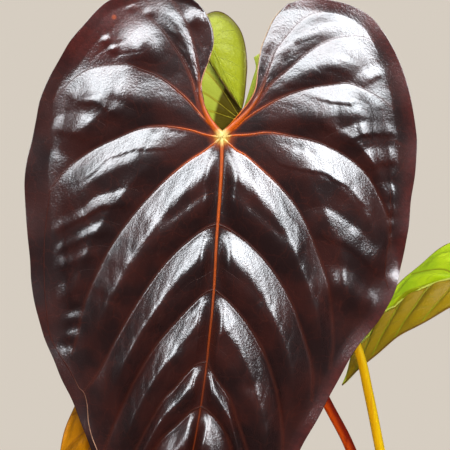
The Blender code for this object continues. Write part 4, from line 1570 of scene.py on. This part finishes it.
@dataclass
class Pot:
    """A plain tapered clay pot with a band round its rim and drain holes.

    Attributes:
        height: Its height.
        rim: Its radius at the rim.
        foot: Its radius at the foot.
        wall: The thickness of its wall.
        floor: The thickness of its floor.
        band: The height of the band round its rim.
        proud: How far the band stands out.
        drains: How many drain holes it has.
        drain_radius: Their radius.
        drain_ring: How far they are from the middle.
    """

    height: float = 0.150
    rim: float = 0.088
    foot: float = 0.064
    wall: float = 0.0042
    floor: float = 0.006
    band: float = 0.022
    proud: float = 0.0035
    drains: int = 5
    drain_radius: float = 0.006
    drain_ring: float = 0.036

    def radius(self, height: float) -> float:
        """Its outer radius at a height, without its band."""
        return self.foot + (self.rim - self.proud - self.foot) * height / self.height

    def build(self, finish: bpy.types.Material) -> None:
        """Makes the pot."""
        top, rim, foot, floor = self.height, self.rim, self.foot, self.floor
        band = top - self.band
        beside = self.radius(band)
        low, middle, high = (self.radius(level) - self.wall for level in (floor, band, top))
        profile = [
            (rim - 0.0026, top), (rim - 0.0010, top - 0.0003), (rim - 0.0002, top - 0.0012),
            (rim, top - 0.0028), (rim - 0.0004, band + 0.0022), (rim - 0.0009, band + 0.0008),
            (rim - 0.0022, band), (beside + 0.0009, band - 0.0004),
            (beside + 0.0002, band - 0.0018),
            *((self.radius(height), height) for height in np.linspace(band - 0.006, 0.006, 22)),
            (foot + 0.0006, 0.0030), (foot - 0.0002, 0.0009), (foot - 0.0018, 0.0),
            (foot - 0.012, 0.0), (self.drain_ring + 0.012, 0.0), (0.0, 0.0), (0.0, floor),
            (low - 0.002, floor), (low, floor + 0.002), (middle, band), (high, top - 0.0016),
            (high + 0.0010, top - 0.0002), (rim - 0.0026, top),
        ]
        mesh = lathe_mesh("clay_pot", np.array(profile), POT_SIDES)
        piece = add_piece("clay_pot", mesh, [finish], "pot")
        bm = bmesh.new()
        for number in range(self.drains):
            turn = 2 * math.pi * number / self.drains
            centre = (self.drain_ring * math.cos(turn), self.drain_ring * math.sin(turn), 0.003)
            bmesh.ops.create_cone(
                bm, cap_ends=True, segments=DRAIN_SIDES, radius1=self.drain_radius,
                radius2=self.drain_radius, depth=4 * self.floor, matrix=Matrix.Translation(centre),
            )
        self.cut(piece, baked(bm, "drain_cutter"))

    def cut(self, piece: bpy.types.Object, cutter: bpy.types.Mesh) -> None:
        """Takes the drain holes out of the pot and applies the cut."""
        holder = put("drain_cutter", cutter)
        boolean = piece.modifiers.new("Drains", "BOOLEAN")
        boolean.object = holder
        boolean.operation = "DIFFERENCE"
        boolean.solver = "EXACT"
        bpy.context.view_layer.update()
        graph = bpy.context.evaluated_depsgraph_get()
        solid = bpy.data.meshes.new_from_object(piece.evaluated_get(graph))
        piece.modifiers.clear()
        piece.data = solid
        solid.shade_smooth()
        bpy.data.objects.remove(holder)
        smooth = piece.modifiers.new("Corners", "EDGE_SPLIT")
        smooth.split_angle = CORNER_ANGLE


@dataclass
class PottingSoil:
    """Bark soil: lumpy ground with chips of bark and grains of pumice on it.

    Attributes:
        stems: Where the stems stand.
        level: The height of its top.
        floor: The height of its bottom.
        top: Its radius at the top.
        bottom: Its radius at the bottom.
        chips: How many bark chips lie on it.
        grains: How many pumice grains lie on it.
    """

    stems: list[Point]
    level: float = SOIL_LEVEL
    floor: float = 0.0063
    top: float = 0.0773
    bottom: float = 0.0600
    chips: int = 420
    grains: int = 90

    def surface(self, x: float, y: float) -> float:
        """The height of the ground at a place."""
        reach = math.hypot(x, y)
        place = Vector((x, y, self.level))
        rise = SOIL_RISE * max(0.0, 1 - reach / self.top)
        rise += sum(height * noise.noise(place * scale) for scale, height in LUMPS)
        return self.level + rise * min(1.0, max(0.0, (self.top - reach) / SOIL_EDGE))

    def build(
        self, ground: bpy.types.Material, bark: bpy.types.Material, pumice: bpy.types.Material
    ) -> None:
        """Makes the ground, the bark and the pumice."""
        profile = [(0.0, self.floor), (self.bottom, self.floor), (self.top, self.level - 0.002)]
        profile += [(ring, self.level) for ring in np.linspace(self.top, 0, SOIL_RINGS)]
        mesh = lathe_mesh("soil_ground", np.array(profile), SOIL_SIDES)
        for vertex in mesh.vertices:
            if vertex.co.z > self.level - 0.001:
                vertex.co.z = self.surface(vertex.co.x, vertex.co.y)
        add_piece("soil_ground", mesh, [ground], "soil")
        draw = random.Random(SEED)
        self.scatter("soil_bark", draw, self.chips, BARK_SIZES, bark)
        self.scatter("soil_pumice", draw, self.grains, PUMICE_SIZES, pumice)

    def scatter(
        self,
        name: str,
        draw: random.Random,
        count: int,
        sizes: tuple[float, float],
        finish: bpy.types.Material,
    ) -> None:
        """Strews chunks over the ground, clear of the stems and the pot's wall.

        Args:
            name: The piece's name.
            draw: The random draw.
            count: How many chunks there are.
            sizes: The least and the most of their size.
            finish: Their material.
        """
        bm = bmesh.new()
        placed = 0
        while placed < count:
            size = draw.uniform(*sizes)
            reach = (self.top - 0.6 * size) * math.sqrt(draw.random())
            turn = draw.uniform(0, 2 * math.pi)
            x, y = reach * math.cos(turn), reach * math.sin(turn)
            clear = STEM_CLEARANCE + 0.8 * size
            if any(math.hypot(x - a, y - b) < clear for a, b in self.stems):
                continue
            level = 2 if size > FINE_CHUNK else 1
            made = bmesh.ops.create_icosphere(bm, subdivisions=level, radius=1)
            flat = draw.uniform(*CHUNK_FLATNESS)
            shift = Vector([draw.uniform(-9, 9) for _ in range(3)])
            for vertex in made["verts"]:
                co = vertex.co
                dent = 1 + CHUNK_DENT * noise.noise(co * CHUNK_DENT_SCALE + shift)
                boxed = Vector([math.copysign(abs(part) ** CHUNK_BOXING, part) for part in co])
                vertex.co = boxed * dent
            lay = Matrix.Translation((x, y, self.surface(x, y) + CHUNK_LIFT * size))
            spin = Matrix.Rotation(draw.uniform(0, 6.3), 4, "Z")
            lean = Matrix.Rotation(draw.uniform(*CHUNK_LEAN), 4, "X")
            half = 0.5 * size
            slim = draw.uniform(*CHUNK_SLIMNESS)
            form = Matrix.Diagonal((half, half * slim, half * flat, 1))
            bmesh.ops.transform(bm, matrix=lay @ spin @ lean @ form, verts=made["verts"])
            placed += 1
        add_piece(name, baked(bm, name), [finish])


@dataclass
class Crown:
    """The short stem that the petioles gather round, with papery sheaths.

    Attributes:
        foot: Its radius at the foot.
        top: Its radius at the top.
        depth: How deep it stands in the soil.
        height: How high it stands above it.
        sheaths: How many sheaths it has.
        sheath_length: Their length.
        sheath_width: Their width.
    """

    foot: float = 0.0085
    top: float = 0.0045
    depth: float = 0.018
    height: float = 0.030
    sheaths: int = 4
    sheath_length: float = 0.040
    sheath_width: float = 0.011

    def build(self, bark: bpy.types.Material, paper: bpy.types.Material) -> None:
        """Makes the stem and its sheaths."""
        top = SOIL_LEVEL + self.height
        foot = SOIL_LEVEL - self.depth
        profile = [(0.0, top), (0.6 * self.top, top - 0.0006), (0.9 * self.top, top - 0.002)]
        for ring in range(5):
            share = ring / 4
            level = top - 0.003 - share * (self.height - 0.002)
            radius = self.top + (self.foot - self.top) * share
            profile += [
                (radius, level), (radius + 0.0001, level - 0.0006),
                (radius - 0.0006, level - 0.0014), (radius - 0.0007, level - 0.0030),
            ]
        profile += [(self.foot, SOIL_LEVEL - 0.006), (self.foot, foot), (0.0, foot)]
        mesh = lathe_mesh("crown_stem", np.array(profile), CROWN_SIDES)
        for vertex in mesh.vertices:
            if vertex.co.z > SOIL_LEVEL:
                co = vertex.co
                co.x += STEM_DENT * noise.noise(co * STEM_DENT_SCALE)
                co.y += STEM_DENT * noise.noise(co * STEM_DENT_SCALE + Vector((5, 0, 0)))
        add_piece("crown_stem", mesh, [bark], "crown")
        for number in range(self.sheaths):
            self.sheath(number, paper)

    def sheath(self, number: int, paper: bpy.types.Material) -> None:
        """Makes one pointed sheath that curls out at its tip."""
        turn = 2 * math.pi * (number + 0.35) / self.sheaths
        low = SOIL_LEVEL + 0.002 + 0.003 * number
        across = np.linspace(-1, 1, 15)[:, None]
        share = np.linspace(0, 1, 41)[None]
        ragged = 1 + 0.10 * np.sin(40 * share + 7 * number) * share
        half = 0.5 * self.sheath_width * (1 - 0.85 * share**1.5) * ragged
        reach = 0.0062 - 0.004 * share + 0.009 * share**2
        side = across * half
        bulge = reach - side * side / 0.016 + 0.0003 * np.sin(9 * across + 12 * share)
        x = bulge * math.cos(turn) - side * math.sin(turn)
        y = bulge * math.sin(turn) + side * math.cos(turn)
        z = low + share * self.sheath_length * (1 - 0.12 * number) + 0 * across
        mesh = mapped_grid(f"crown_sheath_{number + 1}", np.stack((x, y, z), axis=2), {})
        welded(mesh, SHEET_WELD, Vector((math.cos(turn), math.sin(turn), 0)))
        piece = add_piece(f"crown_sheath_{number + 1}", mesh, [paper], "crown")
        thicken(piece, SHEATH_THICKNESS)


# The plant


@dataclass
class Plant:
    """The plant: six leaves."""

    leaves: list[Leaf] = field(default_factory=list)

    def grow(self) -> None:
        """Lists the leaves."""
        self.front()
        self.smaller(
            "young", seen(210, 43, 22),
            leaf_axes(seen(241, 107, 20) - seen(213, 50, 20), (0.10, -1, 0.25)),
            Heart(
                left=0.005, right=0.0184, length=0.0375, lobe=0.0142, left_gap=0.001,
                right_gap=0.003,
            ),
            GreenLeafFinish(
                "young_leaf_face", flesh=(0.31, 0.36, 0.018), deep=(0.23, 0.27, 0.011),
                painted_shade_half=(0.30, 0.34, 0.014), vein=(0.30, 0.34, 0.020), edge=(0.06, 0.025, 0.008),
                # Painted shade where the large leaf's right lobe shades its margin.
                strip=(0.14, 0.135, 0.008),
            ),
            arch=(0.022, 0.05, 0.30), foot=(-0.017, -0.007), radii=(0.0024, 0.0016, 0.0019),
            route=[
                seen(330, 560, 60), seen(285, 450, 46), seen(225, 300, 34), seen(192, 170, 33),
                seen(186, 95, 35),
            ],
            relief=Relief(reach=0.006, slope=0.10, cross=0.0001, crumple=0.0004),
            rib_radii=(0.0002, 0.0001),
        )
        self.smaller(
            "lime", seen(242, 121, 44), leaf_axes((0.05, -0.10, -1), (0.0, -1, 0.15)),
            Heart(
                left=0.058, right=0.060, length=0.120, lobe=0.037, left_gap=0.001,
                right_gap=0.0085,
            ),
            GreenLeafFinish(
                "lime_leaf_face", flesh=(0.50, 0.58, 0.07), deep=(0.38, 0.47, 0.04),
                painted_shade_half=(0.44, 0.54, 0.05), vein=(0.42, 0.38, 0.03), edge=(0.30, 0.42, 0.030),
                # Painted shadow where the large leaf's right lobe shades its left half.
                shadow_middle=seen(300, 130, 44), painted_shadow=(0.070, 0.035, 0.003), shadow_reach=0.0455,
            ),
            arch=(0.16, 0.20, 0.35), foot=(0.006, -0.016), radii=(0.0029, 0.0021, 0.0026),
            route=[
                seen(394, 520, 84), seen(380, 450, 73), seen(369, 395, 70), seen(357, 346, 68),
                seen(325, 270, 68), seen(276, 180, 66),
            ],
            relief=Relief(slope=0.22, cross=0.0003, start=0.35),
            rib_radii=(0.00022, 0.00012),
        )
        self.smaller(
            "side", seen(458.6, 276.9, 98),
            leaf_axes((-0.874, 0.129, -0.448), (-0.457, -0.374, 0.650)),
            Heart(
                left=0.0357, right=0.0209, length=0.0848, lobe=0.0214, left_gap=0.002,
                right_gap=0.003, bow=-0.0114,
            ),
            GreenLeafFinish(
                "side_leaf_face", flesh=(0.42, 0.58, 0.008), deep=(0.30, 0.46, 0.006),
                painted_shade_half=(0.27, 0.18, 0.003), vein=(0.24, 0.26, 0.005), edge=(0.16, 0.08, 0.01),
                midrib=(0.52, 0.58, 0.10),
            ),
            arch=(0.256, 0.068, 0.115), foot=(0.016, 0.004), radii=(0.0026, 0.0018, 0.0022),
            route=[seen(462, 560, 108), seen(478, 450, 118), seen(483, 350, 118)],
            rib_radii=(0.00025, 0.00012),
        )
        self.smaller(
            "low", seen(126, 388, 52), leaf_axes((-0.71, -0.20, -1), (-0.69, -1, 0.59)),
            Heart(
                left=0.0283, right=0.036, length=0.090, lobe=0.026, left_gap=0.002,
                right_gap=0.002,
            ),
            GreenLeafFinish(
                "low_leaf_face", flesh=(0.56, 0.215, 0.001), deep=(0.36, 0.135, 0.001),
                painted_shade_half=(0.50, 0.19, 0.001), vein=(0.33, 0.115, 0.001), edge=(0.22, 0.08, 0.002),
                gloss=0.05,
            ),
            arch=(0.09, 0.10, 0.16), foot=(-0.016, 0.006), radii=(0.0026, 0.0018, 0.0022),
            route=[seen(330, 650, 106), seen(235, 540, 98), seen(166, 455, 84)],
            slot="olive_leaf",
            rib_radii=(0.0003, 0.00015),
        )
        self.smaller(
            "back", Vector((0.100, 0.062, 0.318)),
            leaf_axes((0.65, 0.25, -0.85), (0.55, -0.45, 0.8)),
            Heart(
                left=0.050, right=0.050, length=0.115, lobe=0.036, left_gap=0.002,
                right_gap=0.003,
            ),
            GreenLeafFinish(
                "back_leaf_face", flesh=(0.34, 0.48, 0.03), deep=(0.20, 0.33, 0.012),
                painted_shade_half=(0.30, 0.42, 0.02), vein=(0.55, 0.60, 0.15), edge=(0.16, 0.12, 0.02),
            ),
            arch=(0.10, 0.10, 0.22), foot=(0.004, 0.017), radii=(0.0028, 0.0020, 0.0024),
            route=[(0.014, 0.034, 0.19), (0.036, 0.058, 0.25), (0.068, 0.076, 0.300)],
        )

    def front(self) -> None:
        """Adds the large dark leaf."""
        axes = front_axes()
        heart = (0.80, 0.66, 0.22)
        pale = (0.40, 0.23, 0.15)
        blade = Blade(
            "front", front_plan(), FRONT_JUNCTION, axes, arch=(0.24, 0.17, 1.00),
            relief=Relief(
                reach=0.017, slope=0.38, pillow=0.0023, pillow_reach=0.0050, cross=0.0003,
                crumple=0.0003, start=0.09, crest=0.26, upturn=(1.15, 0.60), funnel=0.0015,
                unrolled=0.25,
            ),
            slot="dark_leaf",
            face=DarkLeafFinish().make(),
            back=BladeBackFinish(
                "dark_leaf_back", flesh=(0.10, 0.030, 0.022), vein=(0.28, 0.07, 0.02)
            ).make(),
            ribs=RibFinish(
                "dark_leaf_ribs", FRONT_JUNCTION, heart=heart, near=(0.47, 0.078, 0.001),
                far=(0.036, 0.008, 0.004), fade=0.044, gloss=0.20,
            ).make(),
            midrib_finish=RibFinish(
                "dark_leaf_midrib", FRONT_JUNCTION, heart=heart, near=(0.43, 0.072, 0.003),
                far=(0.13, 0.020, 0.003), fade=0.14, gloss=0.35,
            ).make(),
            rim_finish=RibFinish(
                "dark_leaf_rim", FRONT_JUNCTION, heart=(0.80, 0.60, 0.16),
                near=(0.48, 0.10, 0.002), far=(0.50, 0.38, 0.27), fade=0.060, gloss=0.03,
            ).make(),
            edge_vein_finish=RibFinish(
                "dark_leaf_edge_veins", seen(97, 450, 12), heart=pale, near=pale,
                far=(0.050, 0.012, 0.008), fade=0.042, gloss=0.05,
            ).make(),
            pace=0.00165, rows=79, rib_radii=(0.00050, 0.00012), fine_ribs=2,
            midrib_radii=(0.00095, 0.0002), side_vein_radius=0.00008,
        )
        stalk = Petiole(
            "front", FRONT_JUNCTION, axes, foot=(-0.009, -0.015),
            route=[
                seen(375, 520, 75), seen(351, 450, 50), seen(326, 401, 38), seen(285, 320, 27),
                seen(248, 220, 22), seen(228, 158, 19),
            ],
            radii=(0.0030, 0.0022, 0.0025),
            slot="red_petiole",
            finish=PetioleFinish(
                "red_petiole_skin", bright=(0.46, 0.050, 0.001), shaded=(0.13, 0.006, 0.0006),
                streak=(0.14, 0.006, 0.0006), foot=(0.30, 0.12, 0.02),
            ).make(),
        )
        self.leaves.append(Leaf(blade, stalk))

    def smaller(
        self,
        name: str,
        junction: Vector,
        axes: Axes,
        heart: Heart,
        face: GreenLeafFinish,
        arch: tuple[float, float, float],
        foot: Point,
        radii: tuple[float, float, float],
        route: list,
        slot: str = "green_leaf",
        relief: Relief = Relief(),
        rib_radii: tuple[float, float] = Blade.rib_radii,
    ) -> None:
        """Adds a smaller leaf.

        Args:
            name: Its name.
            junction: Where its petiole meets it.
            axes: Its right, up and out directions.
            heart: Its measures.
            face: The finish of its upper side.
            arch: The radii it bends at.
            foot: Where its petiole stands in the soil.
            radii: Its petiole's radii.
            route: Points its petiole passes through.
            slot: A name for its finish, handed to the blade.
            relief: How its surface rises.
            rib_radii: Its ribs' radius at the junction and at their ends.
        """
        back = BladeBackFinish(
            f"{name}_leaf_back", tuple(BACK_PALENESS * part for part in face.flesh), face.vein
        )
        ribs, midrib = (
            RibFinish(f"{name}_leaf_{kind}", junction, colour, colour, colour, SMALL_LEAF_FADE)
            for kind, colour in (("ribs", face.vein), ("midrib", face.midrib or face.vein))
        )
        blade = Blade(
            name, heart.plan(), junction, axes, arch,
            replace(relief, cross_pace=CROSS_VEIN_SHARE * heart.length), slot, face.make(),
            back.make(), ribs.make(), midrib_finish=midrib.make(),
            pace=SMALL_PACE if heart.length < SMALL_LEAF else Blade.pace,
            rib_radii=rib_radii,
        )
        skin = PetioleFinish(
            f"{name}_petiole_skin", bright=(0.60, 0.31, 0.001), shaded=(0.68, 0.43, 0.001),
            streak=(0.50, 0.22, 0.001), foot=(0.40, 0.32, 0.04),
        )
        stalk = Petiole(
            name, junction, axes, foot, route, radii, "yellow_petiole", skin.make()
        )
        self.leaves.append(Leaf(blade, stalk))

    def build(self) -> None:
        """Makes every leaf."""
        for leaf in self.leaves:
            leaf.build()


# Studio


@dataclass
class Studio:
    """The camera, the floor and the light.

    Attributes:
        backdrop: The colour behind the plant.
        fill: The light from all round.
        dim: What gloss reflects beside the soft lights.
        lens: The camera's lens, in millimetres.
    """

    backdrop: Colour = (0.672, 0.611, 0.533)
    fill: Colour = (0.50, 0.50, 0.51)
    dim: Colour = (0.020, 0.020, 0.022)
    lens: float = 256.0

    def build(self) -> None:
        """Sets everything up."""
        self.camera()
        self.floor()
        self.world()
        for light in LIGHTS:
            self.softbox(*light)

    def camera(self) -> None:
        """Places the camera on the line the large leaf is drawn from."""
        right, up, out = front_axes()
        flat = drawn((GRID_CENTRE,))[0]
        place = FRONT_JUNCTION + right * flat[0] + up * flat[1] + out * VIEW_DISTANCE
        lens = bpy.data.cameras.new("camera")
        lens.lens = self.lens
        lens.sensor_width = SENSOR_WIDTH
        camera = put("camera", lens)
        turn = Matrix((right, up, out)).transposed().to_4x4()
        camera.matrix_world = Matrix.Translation(place) @ turn
        bpy.context.scene.camera = camera

    def floor(self) -> None:
        """Lays a plain pale floor."""
        bm = bmesh.new()
        bmesh.ops.create_circle(bm, cap_ends=True, segments=96, radius=FLOOR_RADIUS)
        floor = put("floor", baked(bm, "floor"))
        floor.data.materials.append(Shades("floor_paint").finish(self.backdrop, 0.8))
        floor.visible_glossy = False

    def world(self) -> None:
        """Fills the background: the backdrop's colour to the camera, and dimmer in reflections."""
        world = bpy.data.worlds.new("studio")
        world.use_nodes = True
        bpy.context.scene.world = world
        tree = world.node_tree
        background = tree.nodes["Background"]
        rays = tree.nodes.new("ShaderNodeLightPath")
        shade = background.inputs["Color"]
        for ray, colour in (("Is Camera Ray", self.backdrop), ("Is Glossy Ray", self.dim)):
            mix = tree.nodes.new("ShaderNodeMix")
            mix.data_type = "RGBA"
            mix.inputs["A"].default_value = (*self.fill, 1)
            mix.inputs["B"].default_value = (*colour, 1)
            tree.links.new(rays.outputs[ray], mix.inputs["Factor"])
            tree.links.new(mix.outputs["Result"], shade)
            shade = mix.inputs["A"]
        bpy.context.scene.view_settings.view_transform = "Standard"

    def softbox(
        self,
        name: str,
        place: tuple[float, float, float],
        size: tuple[float, float],
        power: float,
        gloss: bool,
        roll: float = 0.0,
    ) -> None:
        """Hangs a soft light that shines at the large leaf's junction.

        Args:
            name: Its name.
            place: Where it hangs from the junction.
            size: Its width and height.
            power: Its power in watts.
            gloss: Whether it only shows in gloss, or only lights the rest.
            roll: How far it is turned round its own axis, in radians.
        """
        lamp = bpy.data.lights.new(name, "AREA")
        lamp.shape = "RECTANGLE"
        lamp.size, lamp.size_y = size
        lamp.energy = power
        lamp.color = GLOSS_LIGHT if gloss else SOFT_LIGHT
        light = put(name, lamp)
        light.visible_glossy = gloss
        light.visible_diffuse = not gloss
        light.visible_transmission = not gloss
        light.location = FRONT_JUNCTION + Vector(place)
        light.rotation_mode = "QUATERNION"
        aimed = (-Vector(place)).to_track_quat("-Z", "Y")
        light.rotation_quaternion = aimed @ Quaternion((0, 0, 1), roll)


def write_sizes() -> None:
    """Brings the view layer up to date."""
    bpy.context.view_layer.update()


def main() -> None:
    """Builds the plant, its pot and the studio."""
    plant = Plant()
    plant.grow()
    plant.build()
    Pot().build(ClayFinish().make())
    stems = [(0.0, 0.0)] + [leaf.petiole.foot for leaf in plant.leaves]
    PottingSoil(stems).build(
        EarthFinish(
            "potting_soil", dark=(0.010, 0.006, 0.004), light=(0.060, 0.036, 0.022), grain=420
        ).make(),
        EarthFinish(
            "bark_chips", dark=(0.035, 0.016, 0.008), light=(0.20, 0.10, 0.050), grain=260
        ).make(),
        EarthFinish(
            "pumice_grains", dark=(0.42, 0.38, 0.32), light=(0.75, 0.71, 0.64), grain=900
        ).make(),
    )
    Crown().build(
        EarthFinish(
            "crown_bark", dark=(0.06, 0.035, 0.015), light=(0.20, 0.13, 0.055), grain=300
        ).make(),
        EarthFinish(
            "papery_sheath", dark=(0.10, 0.050, 0.020), light=(0.34, 0.22, 0.11), grain=500,
            stretch=(1, 1, 0.08),
        ).make(),
    )
    Studio().build()
    bpy.context.view_layer.update()
    write_sizes()


if __name__ == "__main__":
    main()
